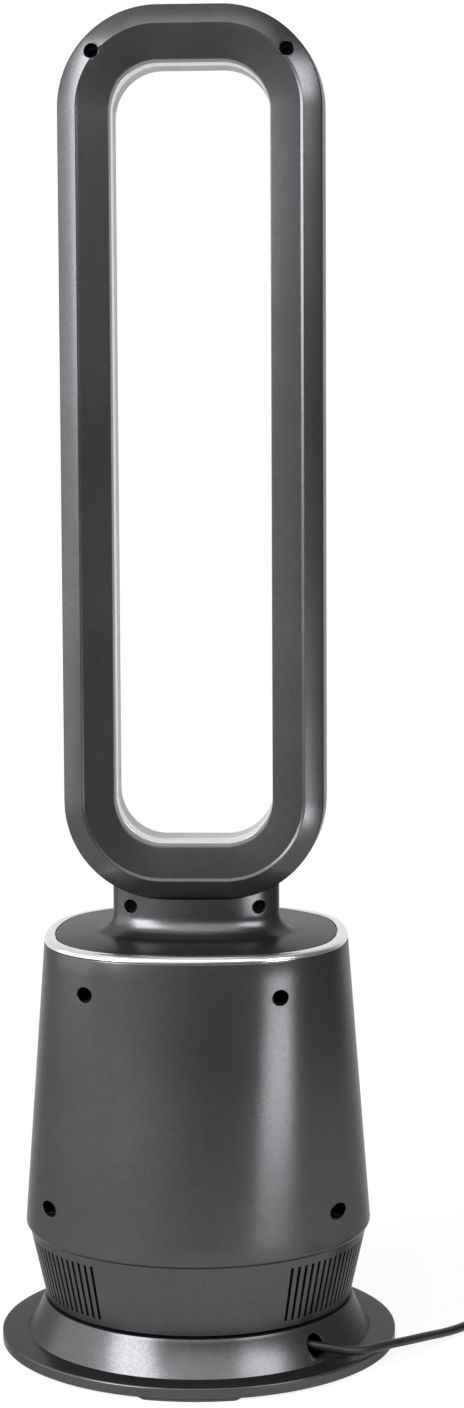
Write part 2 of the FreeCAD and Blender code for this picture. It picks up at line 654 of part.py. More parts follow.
def base_floor():
    """Base plate with the cord saddle, its screws and the rubber pads."""
    low = ("0", "0", "plate_under")
    plate = cylinder("plate_disc", "base_radius - base_wall - fit_gap", "plate_thick", low)
    holes = []
    screws = []
    for k, (x, y) in enumerate(ring_places("plate_screw_ring", count("plate_screw_count"))):
        place = (x, y, "plate_under")
        holes.append(cylinder(f"plate_hole_{k}", "screw_radius + hub_play", "plate_thick", place))
        screws.append(screw(f"plate_screw_{k}", place, FreeCAD.Rotation(), "screw_head",
                            "plate_under - lobe_under - fit_gap", "screw_radius",
                            "plate_screw_long - fit_gap"))
    for k, x, y in swing_screw_places():
        holes.append(cylinder(f"plate_ear_hole_{k}", "small_screw_radius + hub_play", "plate_thick",
                              (x, y, "plate_under")))
    saddle = shaped("cord_saddle", cord_saddle_shape())
    node(cut("plate", join("plate_solid", [plate, saddle]), holes), "base_plate")
    node(group("plate_screws", screws), "base_plate_screws")
    pads = []
    for k in range(count("lobe_count")):
        turn = FreeCAD.Rotation(UP, -90 - size("pad_angle") / 2 + 360 * k / count("lobe_count"))
        block = cylinder(f"pad_block_{k}", "pad_outer", "plate_under", turn=turn, angle="pad_angle")
        core = cylinder(f"pad_core_{k}", "pad_outer - pad_width", "plate_under")
        pads.append(cut(f"pad_{k}", block, [core]))
    node(group("pads", pads), "rubber_feet")


def swivel_ring():
    """Slippery ring that the tower turns on."""
    ring = tube("slide_ring_turned", "slide_inner + slide_width - hub_play", "slide_inner + hub_play",
                "cone_top - slide_sunk", "slide_sunk + swivel_gap - slide_gap")
    node(ring, "slide_ring")


# Swing drive
def gear_blank(teeth, tooth_at):
    """Face of a spur gear with involute flanks, one tooth standing at an angle."""
    module = size("gear_module")
    pressure = math.radians(20)
    pitch = module * teeth / 2
    base = pitch * math.cos(pressure)
    tip = pitch + module
    root = pitch - 1.25 * module
    flank_low = max(base, root)
    half_pitch = (math.pi * module - size("gear_play")) / 4 / pitch

    def half(radius):
        roll = math.acos(min(1.0, base / radius))
        return half_pitch + math.tan(pressure) - pressure - math.tan(roll) + roll

    def spot(radius, angle):
        return V(radius * math.cos(angle), radius * math.sin(angle), 0)

    edges = []
    middle = (flank_low + tip) / 2
    step = 2 * math.pi / teeth
    for k in range(teeth):
        at = tooth_at + k * step
        rise = [spot(r, at - half(r)) for r in (flank_low, middle, tip)]
        fall = [spot(r, at + half(r)) for r in (tip, middle, flank_low)]
        foot = spot(root, at - half(flank_low))
        heel = spot(root, at + half(flank_low))
        if root < flank_low:
            edges.append(Part.LineSegment(foot, rise[0]))
        edges.append(Part.Arc(*rise))
        edges.append(Part.Arc(rise[2], spot(tip, at), fall[0]))
        edges.append(Part.Arc(*fall))
        if root < flank_low:
            edges.append(Part.LineSegment(fall[2], heel))
        edges.append(Part.Arc(heel, spot(root, at + step / 2), spot(root, at + step - half(flank_low))))
    return Part.Face(Part.Wire([edge.toShape() for edge in edges]))


def swing_distance():
    """Distance from the tower's axis to the pinion's."""
    return size("gear_module") * (count("gear_teeth") + count("pinion_teeth")) / 2


def swing_screw_places():
    """Number and X, Y expressions of the swing motor's screws."""
    x = "-gear_module * (gear_teeth + pinion_teeth) / 2"
    return [(0, x, "swing_screw_span / 2"), (1, x, "-swing_screw_span / 2")]


def swing_drive():
    """Swivel gear on the hub, pinion and shaft of the swing motor, the motor and the screws."""
    gear_top = size("cone_top") - size("base_wall") - size("slide_gap")
    gear_low = gear_top - size("gear_thick")
    blank = gear_blank(count("gear_teeth"), 0.0).extrude(V(0, 0, size("gear_thick")))
    blank.translate(V(0, 0, gear_low))
    gear = shaped("gear_teeth_solid", blank)
    low = "cone_top - base_wall - slide_gap - gear_thick"
    tools = [cylinder("gear_way", "gear_bore", "gear_thick", ("0", "0", low))]
    screws = []
    for k, (x, y) in enumerate(ring_places("(hub_bore + hub_radius) / 2", count("gear_screw_count"), 45)):
        tools.append(cylinder(f"gear_hole_{k}", "small_screw_radius + hub_play", "gear_thick", (x, y, low)))
        screws.append(screw(f"gear_screw_{k}", (x, y, low), FreeCAD.Rotation(), "small_screw_head",
                            "small_screw_head_tall", "small_screw_radius", "gear_screw_long"))
    node(cut("gear", gear, tools), "swivel_gear")
    node(group("gear_screw_set", screws), "gear_screws")

    x = "-gear_module * (gear_teeth + pinion_teeth) / 2"
    pinion = gear_blank(count("pinion_teeth"), math.pi / count("pinion_teeth"))
    pinion = pinion.extrude(V(0, 0, size("pinion_thick")))
    pinion.translate(V(-swing_distance(), 0, gear_low))
    bore = cylinder("pinion_bore", "swing_shaft_radius + shaft_play / 2", "pinion_thick", (x, "0", low))
    node(cut("pinion", shaped("pinion_teeth_solid", pinion), [bore]), "swing_pinion")

    motor_low = "plate_under + plate_thick"
    motor_top = motor_low + " + swing_motor_tall"
    can = cylinder("swing_can", "swing_motor_radius", "swing_motor_tall", (x, "0", motor_low))
    collar = cylinder("swing_collar", "swing_boss_radius", "swing_boss_tall", (x, "0", motor_top))
    ears = box("swing_ears", "swing_ear_wide", "swing_ear_span", "swing_ear_thick",
               (x + " - swing_ear_wide / 2", "-swing_ear_span / 2", motor_low))
    bore_low = motor_top + " + swing_boss_tall - swing_shaft_sunk - slide_gap"
    tools = [cylinder("swing_bore", "swing_shaft_radius + shaft_play", "swing_shaft_sunk + slide_gap",
                      (x, "0", bore_low))]
    screws = []
    for k, screw_x, screw_y in swing_screw_places():
        place = (screw_x, screw_y, motor_low + " + swing_ear_thick")
        tools.append(cylinder(f"ear_hole_{k}", "small_screw_radius + hub_play", "swing_ear_thick",
                              (screw_x, screw_y, motor_low)))
        screws.append(screw(f"ear_screw_{k}", place, UPSIDE_DOWN, "small_screw_head",
                            "small_screw_head_tall", "small_screw_radius", "swing_ear_thick + plate_thick"))
    node(cut("swing_motor_solid", join("swing_motor_parts", [can, collar, ears]), tools), "swing_motor")
    node(group("ear_screws", screws), "swing_motor_screws")
    shaft_low = motor_top + " + swing_boss_tall - swing_shaft_sunk"
    shaft_tall = f"({low} + pinion_thick) - ({shaft_low})"
    node(cylinder("swing_shaft_rod", "swing_shaft_radius", shaft_tall, (x, "0", shaft_low)), "swing_shaft")


def tilt_switch():
    """Sealed tip-over switch on the base plate."""
    low = "plate_under + plate_thick"
    case = box("switch_case", "switch_long", "switch_wide", "switch_tall",
               ("-switch_long / 2", "switch_ahead - switch_wide / 2", low))
    cap = cylinder("switch_dome", "switch_cap", "switch_tall * 0.2",
                   ("0", "switch_ahead", low + " + switch_tall"))
    node(join("switch_solid", [case, cap]), "tilt_switch")


# Tower: intake ring and covers
def lower_housing():
    """Tapered intake ring with its floor, swivel hub and slots."""
    floor_low = "floor_low"
    floor_top = "floor_low + grille_floor"
    spigot = "spigot_radius"
    ring = lathe("grille_turned", [
        ("hub_bore", "cone_top - base_wall - slide_gap"),
        ("hub_radius", "cone_top - base_wall - slide_gap"),
        ("hub_radius", floor_low),
        ("grille_foot_radius", floor_low),
        ("grille_top_radius", "grille_top"),
        (spigot, "grille_top"),
        (spigot, "grille_top + spigot_tall"),
        (spigot + " - spigot_wall", "grille_top + spigot_tall"),
        (spigot + " - spigot_wall", "slot_high + (grille_top - slot_high) / 2"),
        ("grille_foot_radius - grille_wall", floor_top),
        ("hub_bore", floor_top),
    ])
    first = size("slot_blank") / 2
    last = 360 - first
    slots = []
    inner = size("grille_foot_radius") - 3 * size("grille_wall")
    deep = size("grille_top_radius") + size("grille_wall") - inner
    for k in range(count("slot_count")):
        angle = first + (last - first) * k / (count("slot_count") - 1) - 90
        slot = Part.makeBox(deep, size("slot_wide"), size("slot_high") - size("slot_low"),
                            V(inner, -size("slot_wide") / 2, size("slot_low")))
        slot.rotate(V(), UP, angle)
        slots.append(slot)
    tools = [shaped("intake_slots", Part.makeCompound(slots))]
    low = "cone_top - base_wall - slide_gap"
    for k, (x, y) in enumerate(ring_places("(hub_bore + hub_radius) / 2", count("gear_screw_count"), 45)):
        tools.append(cylinder(f"hub_pilot_{k}", "small_screw_radius + hub_play",
                              "gear_screw_long - gear_thick + fit_gap", (x, y, low)))
    node(cut("grille", ring, tools), "lower_housing")


def body_outlines(inset):
    """Outlines of the body from its lower edge to its top, moved inwards."""
    low = size("grille_top")
    return [
        flat_wire(circle(size("body_foot_radius") - inset), low),
        flat_wire(circle(size("body_low_radius") - inset), low + size("body_bevel")),
        flat_wire(top_outline(size("body_top_half") - inset), size("body_top")),
    ]


def half_space(front):
    """Large box on one side of the split."""
    wide = 4 * size("base_radius")
    low = size("split_gap") / 2 if front else -wide - size("split_gap") / 2
    return Part.makeBox(2 * wide, wide, 2 * size("loop_high"), V(-wide, low, 0))


def cover_screw_places():
    """X and height of the four screws that hold the covers together."""
    return [
        (-size("cover_high_left"), size("cover_high")),
        (size("cover_high_right"), size("cover_high")),
        (-size("cover_low_side"), size("cover_low")),
        (size("cover_low_side"), size("cover_low")),
    ]


def recess(x, z, reach, radius, wall, seat, seat_thick):
    """Tube with its bore and screw hole, from behind the piece to its seat, as solid and tools."""
    tube_solid = rod(x, -reach, z, radius + wall, reach - seat + seat_thick)
    bore = rod(x, -reach, z, radius, reach - seat)
    hole = rod(x, -reach, z, size("screw_radius") + size("fit_gap"), reach)
    return tube_solid, [bore, hole]


def y_screws(label, places, seat, long):
    """Screws along +Y with their heads on seats behind the split."""
    screws = []
    for k, (x, z) in enumerate(places):
        shank = rod(x, -seat, z, size("screw_radius"), long)
        head = rod(x, -seat - size("screw_head_tall"), z, size("screw_head"), size("screw_head_tall"))
        screws.append(shank.fuse(head))
    node(shaped(label + "_set", Part.makeCompound(screws)), label)


def body_covers():
    """Rear cover with four recessed screws, front cover with its posts, window and board posts."""
    outside = loft(body_outlines(0))
    inside = loft(body_outlines(size("body_wall")))
    skin = outside.cut(inside)
    reach = 2 * size("base_radius")
    seat = size("cover_seat")
    gap = size("fit_gap")
    seat_face = seat - size("cover_seat_thick")
    rear = skin.common(half_space(False))
    front = skin.common(half_space(True))
    tools = []
    for x, z in cover_screw_places():
        solid, bores = recess(x, z, reach, size("cover_hole_radius"), size("cover_tube_wall"), seat,
                              size("cover_seat_thick"))
        rear = rear.fuse(solid.common(outside))
        tools += bores
        post = rod(x, -seat_face + gap, z, size("cover_post"), reach).common(outside)
        pilot = rod(x, -seat, z, size("screw_radius") + size("hub_play"), size("cover_screw_long") + gap)
        front = front.fuse(post).cut(pilot)
    rear = rear.cut(Part.makeCompound(tools))
    y_screws("cover_screws", cover_screw_places(), seat, size("cover_screw_long"))
    board_at = size("control_board_ahead") + size("board_thick")
    board_mid = size("window_low") + size("window_tall") / 2
    for side in (-1, 1):
        post = rod(side * size("control_post_side"), board_at, board_mid, size("control_post"), reach)
        front = front.fuse(post.common(outside))
    node(shaped("rear_cover_solid", rear), "rear_cover")
    opening = window_prism(gap)
    node(shaped("front_cover_solid", front.cut(opening)), "front_cover")
    pane = skin.common(half_space(True)).common(window_prism(0))
    node(shaped("window_pane", pane), "control_window")
    half = size("control_board_half")
    board = Part.makeBox(2 * half, size("board_thick"), size("control_board_tall"),
                         V(-half, size("control_board_ahead"), board_mid - size("control_board_tall") / 2))
    node(shaped("control_board_slab", board), "control_board")


def window_prism(gap):
    """Rounded block through the front cover at the control window."""
    half_tall = size("window_tall") / 2
    middle = size("window_low") + half_tall
    outline = oblong(size("window_half") + gap, half_tall + gap, size("window_corner") + gap)
    wire = wire_of([[V(u, size("split_gap"), middle + v) for u, v in stretch] for stretch in outline])
    return Part.Face(wire).extrude(V(0, 2 * size("base_radius"), 0))


def top_outline(half):
    """Outline parallel to the body's top edge."""
    inset = size("body_top_half") - half
    return squircle(half, size("body_side_bend") - inset, size("body_corner_bend") - inset)


def trim_ring():
    """Bright ring on the covers, with a rounded top, and the ledge that carries the deck."""
    low = size("body_top")
    tall = size("trim_tall")
    outer = size("body_top_half")
    inner = size("trim_inner_half")
    wide = outer - inner
    crown = []
    for angle in (0, 30, 60, 90):
        lean = math.radians(angle)
        half = outer - wide * 0.6 * (1 - math.cos(lean))
        crown.append(flat_wire(top_outline(half), low + tall * math.sin(lean)))
    ring = loft(crown)
    spigot = prism(top_outline(outer - size("body_wall") - size("slide_gap")), low - size("trim_spigot"), low)
    deck_low = size("deck_low")
    ring = ring.fuse(spigot)
    ring = ring.cut(prism(top_outline(inner), deck_low, low + 2 * tall))
    ring = ring.cut(prism(top_outline(inner - size("trim_ledge")), low - size("trim_spigot"), low + tall))
    node(shaped("trim_ring_solid", ring), "trim_ring")


# Deck and neck
def loop_station(grow, behind, inset):
    """Outline of the loop across Y, grown from its rear outer edge, at a distance behind the axis."""
    half_tall = (size("loop_high") - size("loop_low")) / 2
    middle = (size("loop_high") + size("loop_low")) / 2
    grown = grow - inset
    bands = size("loop_band_out") + size("loop_band_in")
    tall_grown = grown - size("loop_end_extra") * max(-grown, 0) / bands
    outline = oblong(size("loop_half") + grown, half_tall + tall_grown, size("loop_corner") + grown)
    return wire_of([[V(u, -behind, middle + v) for u, v in stretch] for stretch in outline])


def loop_rear_outside(inset):
    """Solid inside the loop's rear outer faces, from ridge to split."""
    rear = size("loop_rear")
    return loft([
        loop_station(-size("loop_band_out"), rear - inset, inset),
        loop_station(0, rear - size("loop_band_drop"), inset),
        loop_station(size("loop_draft"), 0, inset),
    ])


def loop_front_outside(inset):
    """Solid inside the loop's front outer faces, from split to front face."""
    front = size("loop_front") - inset
    turn = size("loop_front_round")
    stations = [loop_station(size("loop_draft"), 0, inset)]
    for angle in (0, 30, 60, 90):
        lean = math.radians(angle)
        grow = size("loop_draft") - turn * (1 - math.cos(lean))
        stations.append(loop_station(grow, -(front - turn + turn * math.sin(lean)), inset))
    return loft(stations)


def neck_halves():
    """Deck with the neck rising out of it in one sweep, split in a rear and a front half."""
    top = size("deck_top")
    deck = prism(top_outline(size("trim_inner_half") - size("fit_gap")), size("deck_low"), top)
    neck_top = size("loop_low") + size("loop_corner") / 2
    neck_line = oblong(size("neck_half_wide"), size("neck_half_deep"), size("neck_corner"))
    neck = prism(neck_line, top, neck_top)
    whole = deck.fuse(neck).removeSplitter()
    foot = []
    for edge in whole.Edges:
        level = abs(edge.BoundBox.ZMin - top) < 1e-4 and abs(edge.BoundBox.ZMax - top) < 1e-4
        at = edge.CenterOfMass
        inner = abs(at.x) < size("neck_half_wide") + 1 and abs(at.y) < size("neck_half_deep") + 1
        if level and inner:
            foot.append(edge)
    whole = whole.makeFillet(size("neck_flare"), foot)
    wall = size("neck_wall")
    hollow_line = oblong(size("neck_half_wide") - wall, size("neck_half_deep") - wall,
                         size("neck_corner") - wall)
    hollow = prism(hollow_line, top, neck_top)
    way = prism(oblong(size("duct_half_wide"), size("duct_half_deep"), size("duct_corner")),
                size("deck_low"), neck_top)
    gap = size("fit_gap")
    whole = whole.cut(hollow).cut(way)
    whole = whole.cut(loop_rear_outside(-gap)).cut(loop_front_outside(-gap))
    places = [(-size("neck_hole_side"), size("neck_hole")), (size("neck_hole_side"), size("neck_hole"))]
    reach = size("neck_half_deep") + size("neck_flare")
    seat = size("neck_seat")
    seat_thick = size("cover_seat_thick")
    room = prism(neck_line, top, neck_top)
    rear = whole.common(half_space(False))
    front = whole.common(half_space(True))
    for x, z in places:
        solid, bores = recess(x, z, reach, size("neck_hole_radius"), size("neck_tube_wall"), seat, seat_thick)
        rear = rear.fuse(solid.common(room)).cut(Part.makeCompound(bores))
        post_radius = size("neck_hole_radius") + size("neck_tube_wall")
        post = rod(x, -seat + seat_thick + gap, z, post_radius, reach + seat).common(room)
        pilot = rod(x, -seat, z, size("screw_radius") + size("hub_play"), size("neck_screw_long") + gap)
        front = front.fuse(post).cut(pilot)
    keep_off = loop_rear_outside(-gap).fuse(loop_front_outside(-gap))
    node(shaped("neck_rear_solid", rear.cut(keep_off)), "neck_rear")
    node(shaped("neck_front_solid", front.cut(keep_off)), "neck_front")
    y_screws("neck_screws", places, seat, size("neck_screw_long"))


# Loop
def opening_grow():
    """Growth from the loop's rear outer edge to the opening's edge, a negative size."""
    return -size("loop_band_out") - size("loop_band_in")


def sleeve(grow_in, wall, behind, ahead):
    """Ring along Y round the opening between two distances."""
    outer = loft([loop_station(grow_in + wall, behind, 0), loop_station(grow_in + wall, -ahead, 0)])
    inner = loft([loop_station(grow_in, behind, 0), loop_station(grow_in, -ahead, 0)])
    return outer.cut(inner)


def loop_duct():
    """Block through the loop's lowest wall where the air comes in."""
    half_wide = size("loop_duct_half_wide")
    half_deep = size("duct_half_deep")
    low = size("loop_low") - 2 * size("loop_draft") - size("loop_wall")
    tall = size("loop_band_out") + size("loop_band_in") / 2
    return Part.makeBox(2 * half_wide, 2 * half_deep, tall, V(-half_wide, -half_deep, low))


def loop_shells():
    """Rear shell, outlet lip and front shell of the loop, and their two screws."""
    wall = size("loop_wall")
    rear = size("loop_rear")
    gap = size("split_gap")
    edge = opening_grow()
    far = size("loop_front") + wall
    edge_behind = rear - size("loop_band_dip")
    dip = loft([loop_station(-size("loop_band_out"), rear, 0), loop_station(edge, edge_behind, 0)])
    through = loft([loop_station(edge, rear, 0), loop_station(edge, -far, 0)])
    hollow = loop_rear_outside(wall)
    dip_inside = loft([loop_station(-size("loop_band_out") - wall, rear, 0),
                       loop_station(edge, edge_behind - wall, 0),
                       loop_station(edge, 0, 0)])
    shell = loop_rear_outside(0).cut(dip).cut(through)
    band_keep = loft([loop_station(-size("loop_band_out"), rear, 0),
                      loop_station(edge - wall, edge_behind - wall, 0)])
    hollow = hollow.cut(band_keep).cut(dip_inside.common(band_keep))
    shell = shell.cut(hollow)
    top = size("loop_high") - size("loop_hole_drop")
    places = [(-size("loop_hole_side"), top), (size("loop_hole_side"), top)]
    seat = size("loop_seat")
    seat_thick = size("cover_seat_thick")
    room = loop_rear_outside(0).cut(dip)
    for x, z in places:
        solid, bores = recess(x, z, rear, size("loop_hole_radius"), size("loop_tube_wall"), seat, seat_thick)
        shell = shell.fuse(solid.common(room)).cut(Part.makeCompound(bores))
    shell = shell.common(half_space(False)).cut(loop_duct())
    node(shaped("loop_rear_solid", shell), "loop_rear_shell")

    lip_behind = edge_behind - wall - size("hub_play")
    lip = sleeve(edge, wall, lip_behind, -size("outlet_behind"))
    node(shaped("outlet_lip_ring", lip), "outlet_lip")

    guide = sleeve(edge, wall, size("outlet_behind") - size("outlet_slot"), gap)
    outside = loop_front_outside(0).cut(through)
    inner_wall = loft([loop_station(edge + wall, 0, 0), loop_station(edge + wall, -far, 0)])
    cavity = loop_front_outside(wall).cut(inner_wall)
    front = outside.cut(cavity).common(half_space(True)).fuse(guide)
    for x, z in places:
        post = rod(x, -seat + seat_thick + gap, z, size("loop_post"), seat + size("loop_front") - wall)
        pilot = rod(x, -seat, z, size("screw_radius") + size("hub_play"), size("loop_screw_long") + gap)
        front = front.fuse(post).cut(pilot)
    front = front.cut(loop_duct())
    node(shaped("loop_front_solid", front), "loop_front_shell")
    y_screws("loop_screws", places, seat, size("loop_screw_long"))


# Fan
def fan_case():
    """Inlet plate with its bell, board guides and screw posts, fan housing and guide vanes."""
    low = "inlet_low"
    top = "inlet_top"
    plate = lathe("bell_turned", [
        ("spigot_radius", low),
        ("spigot_radius", top),
        ("bell_mouth", top),
        ("bell_throat + bell_thick * 2", top + " + bell_thick"),
        ("bell_throat + bell_thick", low + " + bell_tall / 2"),
        ("bell_throat + bell_thick", low + " + bell_tall"),
        ("bell_throat", low + " + bell_tall"),
        ("bell_throat", low + " + bell_tall / 2 - bell_thick / 2"),
        ("bell_throat + bell_thick * 1.4", low + " + bell_thick"),
        ("bell_mouth - bell_thick / 2", low),
    ])
    parts = [plate]
    holes = []
    flange_holes = []
    screws = []
    for k, (x, y) in enumerate(ring_places("housing_screw_ring", count("housing_screw_count"), 45)):
        post_low = low + " - housing_post_tall"
        parts.append(cylinder(f"bell_post_{k}", "housing_post", "housing_post_tall + bell_thick / 2",
                              (x, y, post_low)))
        holes.append(cylinder(f"bell_pilot_{k}", "screw_radius + hub_play", "housing_post_tall + bell_thick",
                              (x, y, post_low)))
        flange_holes.append(cylinder(f"flange_hole_{k}", "screw_radius + hub_play", "bell_thick", (x, y, top)))
        screws.append(screw(f"housing_screw_{k}", (x, y, top + " + bell_thick"), UPSIDE_DOWN, "screw_head",
                            "screw_head_tall", "screw_radius", "housing_screw_long"))
    for side in (-1, 1):
        at = f"({side} * (power_board_half - guide_half / 2))"
        parts.append(box(f"guide_{side + 1}", "2 * guide_half", "2 * guide_half", "guide_tall",
                         (at + " - guide_half", "-power_board_behind - guide_half", top)))
    slot_at = ("-power_board_half - fit_gap", "-power_board_behind - board_thick / 2 - fit_gap", top)
    holes.append(box("board_slot", "2 * power_board_half + 2 * fit_gap", "board_thick + 2 * fit_gap",
                     "guide_tall", slot_at))
    node(cut("bell", join("bell_solid", parts), holes), "inlet_bellmouth")
    inner = "housing_radius - housing_wall"
    case = lathe("housing_turned", [
        (inner, top),
        ("housing_flange", top),
        ("housing_flange", top + " + bell_thick"),
        ("housing_radius", top + " + bell_thick"),
        ("housing_radius", "housing_shoulder"),
        ("housing_outlet + housing_wall", "housing_top - housing_wall"),
        ("housing_rim", "housing_top - housing_wall"),
        ("housing_rim", "housing_top"),
        ("housing_outlet", "housing_top"),
        ("housing_outlet", "housing_top - housing_wall * 1.5"),
        (inner, "housing_shoulder - housing_wall / 2"),
    ])
    node(cut("housing", case, flange_holes), "fan_housing")
    node(group("housing_screw_set", screws), "housing_screws")
    pod = lathe("pod_turned", [
        ("shaft_radius * 2", "pod_low"),
        ("pod_radius", "pod_low"),
        ("pod_radius", "pod_low + pod_tall"),
        ("pod_radius - pod_wall", "pod_low + pod_tall"),
        ("pod_radius - pod_wall", "pod_low + pod_wall"),
        ("shaft_radius * 2", "pod_low + pod_wall"),
    ])
    inside = size("pod_radius") - size("pod_wall") / 2
    reach = size("housing_radius") - size("housing_wall") - size("fit_gap") - inside
    vanes = []
    for angle in polar(count("vane_count")):
        vane = Part.makeBox(reach, size("vane_thick"), size("vane_tall"),
                            V(inside, -size("vane_thick") / 2, size("vane_low")))
        vane.rotate(V(), UP, math.degrees(angle))
        vanes.append(vane)
    node(join("diffuser_solid", [pod, shaped("guide_vanes", Part.makeCompound(vanes))]), "diffuser")


def fan_motor():
    """Motor, its bearings, its rubber dampers, the shaft, the impeller and its nut."""
    top = "motor_low + motor_tall"
    seat = "bearing_radius + hub_play"
    bore = "shaft_radius + slide_gap"
    node(lathe("motor_turned", [
        (seat, "motor_low"),
        ("motor_radius", "motor_low"),
        ("motor_radius", top),
        (seat, top),
        (seat, top + " - bearing_tall"),
        (bore, top + " - bearing_tall"),
        (bore, "motor_low + bearing_tall"),
        (seat, "motor_low + bearing_tall"),
    ]), "fan_motor")
    race = "shaft_radius + shaft_play"
    race_tall = "bearing_tall - hub_play"
    node(group("bearing_pair", [
        tube("bearing_low", "bearing_radius", race, "motor_low", race_tall),
        tube("bearing_high", "bearing_radius", race, top + " - bearing_tall + hub_play", race_tall),
    ]), "motor_bearings")
    sleeve_out = "pod_radius - pod_wall - hub_play"
    sleeve_in = "motor_radius + hub_play"
    node(group("damper_pair", [
        tube("damper_low", sleeve_out, sleeve_in, "motor_low + damper_inset", "damper_tall"),
        tube("damper_high", sleeve_out, sleeve_in, top + " - damper_inset - damper_tall", "damper_tall"),
    ]), "motor_dampers")
    shaft = cylinder("fan_shaft", "shaft_radius", "shaft_high - shaft_low", ("0", "0", "shaft_low"))
    node(shaft, "motor_shaft")
    hub_bore = "shaft_radius + shaft_play / 2"
    hub = lathe("impeller_turned", [
        (hub_bore, "impeller_low"),
        ("impeller_eye", "impeller_low"),
        ("impeller_hub", "impeller_top - impeller_plate"),
        ("impeller_radius", "impeller_top - impeller_plate"),
        ("impeller_radius", "impeller_top"),
        (hub_bore, "impeller_top"),
    ])
    blades = shaped("impeller_blades", impeller_blades())
    node(join("impeller_solid", [hub, blades]), "impeller")
    nut = primitive("Part::Prism", "nut_prism", ("0", "0", "impeller_low - nut_tall"), Polygon="6",
                    Circumradius="nut_wide", Height="nut_tall")
    thread = cylinder("nut_bore", hub_bore, "nut_tall", ("0", "0", "impeller_low - nut_tall"))
    node(cut("nut", nut, [thread]), "impeller_nut")


def impeller_blades():
    """Curved blades under the impeller's back plate."""
    low = size("blade_low")
    tall = size("impeller_top") - size("impeller_plate") / 2 - low
    inner = size("blade_inner")
    outer = size("impeller_radius") - size("blade_tip_gap")
    radii = [inner, (inner + outer) / 2, outer]
    sweep = math.radians(size("blade_sweep"))
    blades = []
    for start in polar(count("blade_count")):
        front = []
        back = []
        for radius, share in zip(radii, (0.0, 0.6, 1.0)):
            angle = start - sweep * share
            half = size("blade_thick") / 2 / radius
            front.append(V(radius * math.cos(angle + half), radius * math.sin(angle + half), low))
            back.append(V(radius * math.cos(angle - half), radius * math.sin(angle - half), low))
        back.reverse()
        tip = Part.LineSegment(front[2], back[0])
        root = Part.LineSegment(back[2], front[0])
        edges = [Part.Arc(*front), tip, Part.Arc(*back), root]
        face = Part.Face(Part.Wire([edge.toShape() for edge in edges]))
        blades.append(face.extrude(V(0, 0, tall)))
    return Part.makeCompound(blades)


# Heater
def heater():
    """Air duct, heater frame, heating bars, fins, thermal cut-out and gasket."""
    wall = size("heater_wall")
    half_wide = size("heater_half_wide")
    half_deep = size("heater_half_deep")
    corner = size("heater_corner")
    low = size("heater_low")
    duct_low = size("housing_top")
    thick = size("housing_wall")
    outer = loft([flat_wire(circle(size("housing_outlet") + thick), duct_low),
                  flat_wire(oblong(half_wide, half_deep, corner), low)])
    inner = loft([flat_wire(circle(size("housing_outlet")), duct_low),
                  flat_wire(oblong(half_wide - thick, half_deep - thick, corner - thick), low)])
    node(shaped("air_duct_shell", outer.cut(inner)), "air_duct")
    top = size("heater_top")
    core_low = low + size("heater_ledge")
    frame = prism(oblong(half_wide, half_deep, corner), low, top)
    frame = frame.cut(prism(oblong(half_wide - wall, half_deep - wall, corner - wall), core_low, top))
    frame = frame.cut(prism(oblong(half_wide - 2 * wall, half_deep - 2 * wall, corner - wall), low, core_low))
    node(shaped("heater_frame_solid", frame), "heater_frame")
    gasket_top = top + size("gasket_tall")
    gasket = prism(oblong(half_wide, half_deep, corner), top, gasket_top)
    gasket = gasket.cut(prism(oblong(half_wide - wall, half_deep - wall, corner - wall), top, gasket_top))
    node(shaped("gasket_ring", gasket), "neck_gasket")

    gap = size("fit_gap")
    bars = count("bar_count")
    long = 2 * (half_wide - wall) - 2 * gap
    deep = 2 * (half_deep - wall) - 2 * gap
    clear_corner = corner - wall
    fin_deep = (deep - 2 * clear_corner * 0.3 - bars * size("bar_thick")) / (bars + 1)
    start = -(bars * size("bar_thick") + (bars + 1) * fin_deep) / 2
    long -= 2 * clear_corner * 0.3
    bar_solids = []
    fin_solids = []
    y = start
    for k in range(bars + 1):
        fin_solids.append(fin_stack(-long / 2, y, core_low, long, fin_deep))
        y += fin_deep
        if k < bars:
            bar = Part.makeBox(long, size("bar_thick"), size("core_tall"), V(-long / 2, y, core_low))
            bar_solids.append(bar)
            y += size("bar_thick")
    node(shaped("bar_set", Part.makeCompound(bar_solids)), "ptc_bars")
    node(shaped("fin_set", Part.makeCompound(fin_solids)), "heater_fins")
    cutout_at = ("heater_half_wide", "0", "cutout_height")
    node(cylinder("cutout_can", "cutout_radius", "cutout_long", cutout_at, ALONG_X), "thermal_cutout")


def fin_stack(x, y, z, long, deep):
    """Block of upright fins with air ways between them."""
    openings = count("fin_count")
    fin = size("fin_thick")
    wide = (long - (openings + 1) * fin) / openings
    stack = Part.makeBox(long, deep, size("core_tall"), V(x, y, z))
    ways = []
    for k in range(openings):
        corner = V(x + fin + k * (wide + fin), y + fin / 2, z)
        ways.append(Part.makeBox(wide, deep - fin, size("core_tall"), corner))
    return stack.cut(Part.makeCompound(ways))


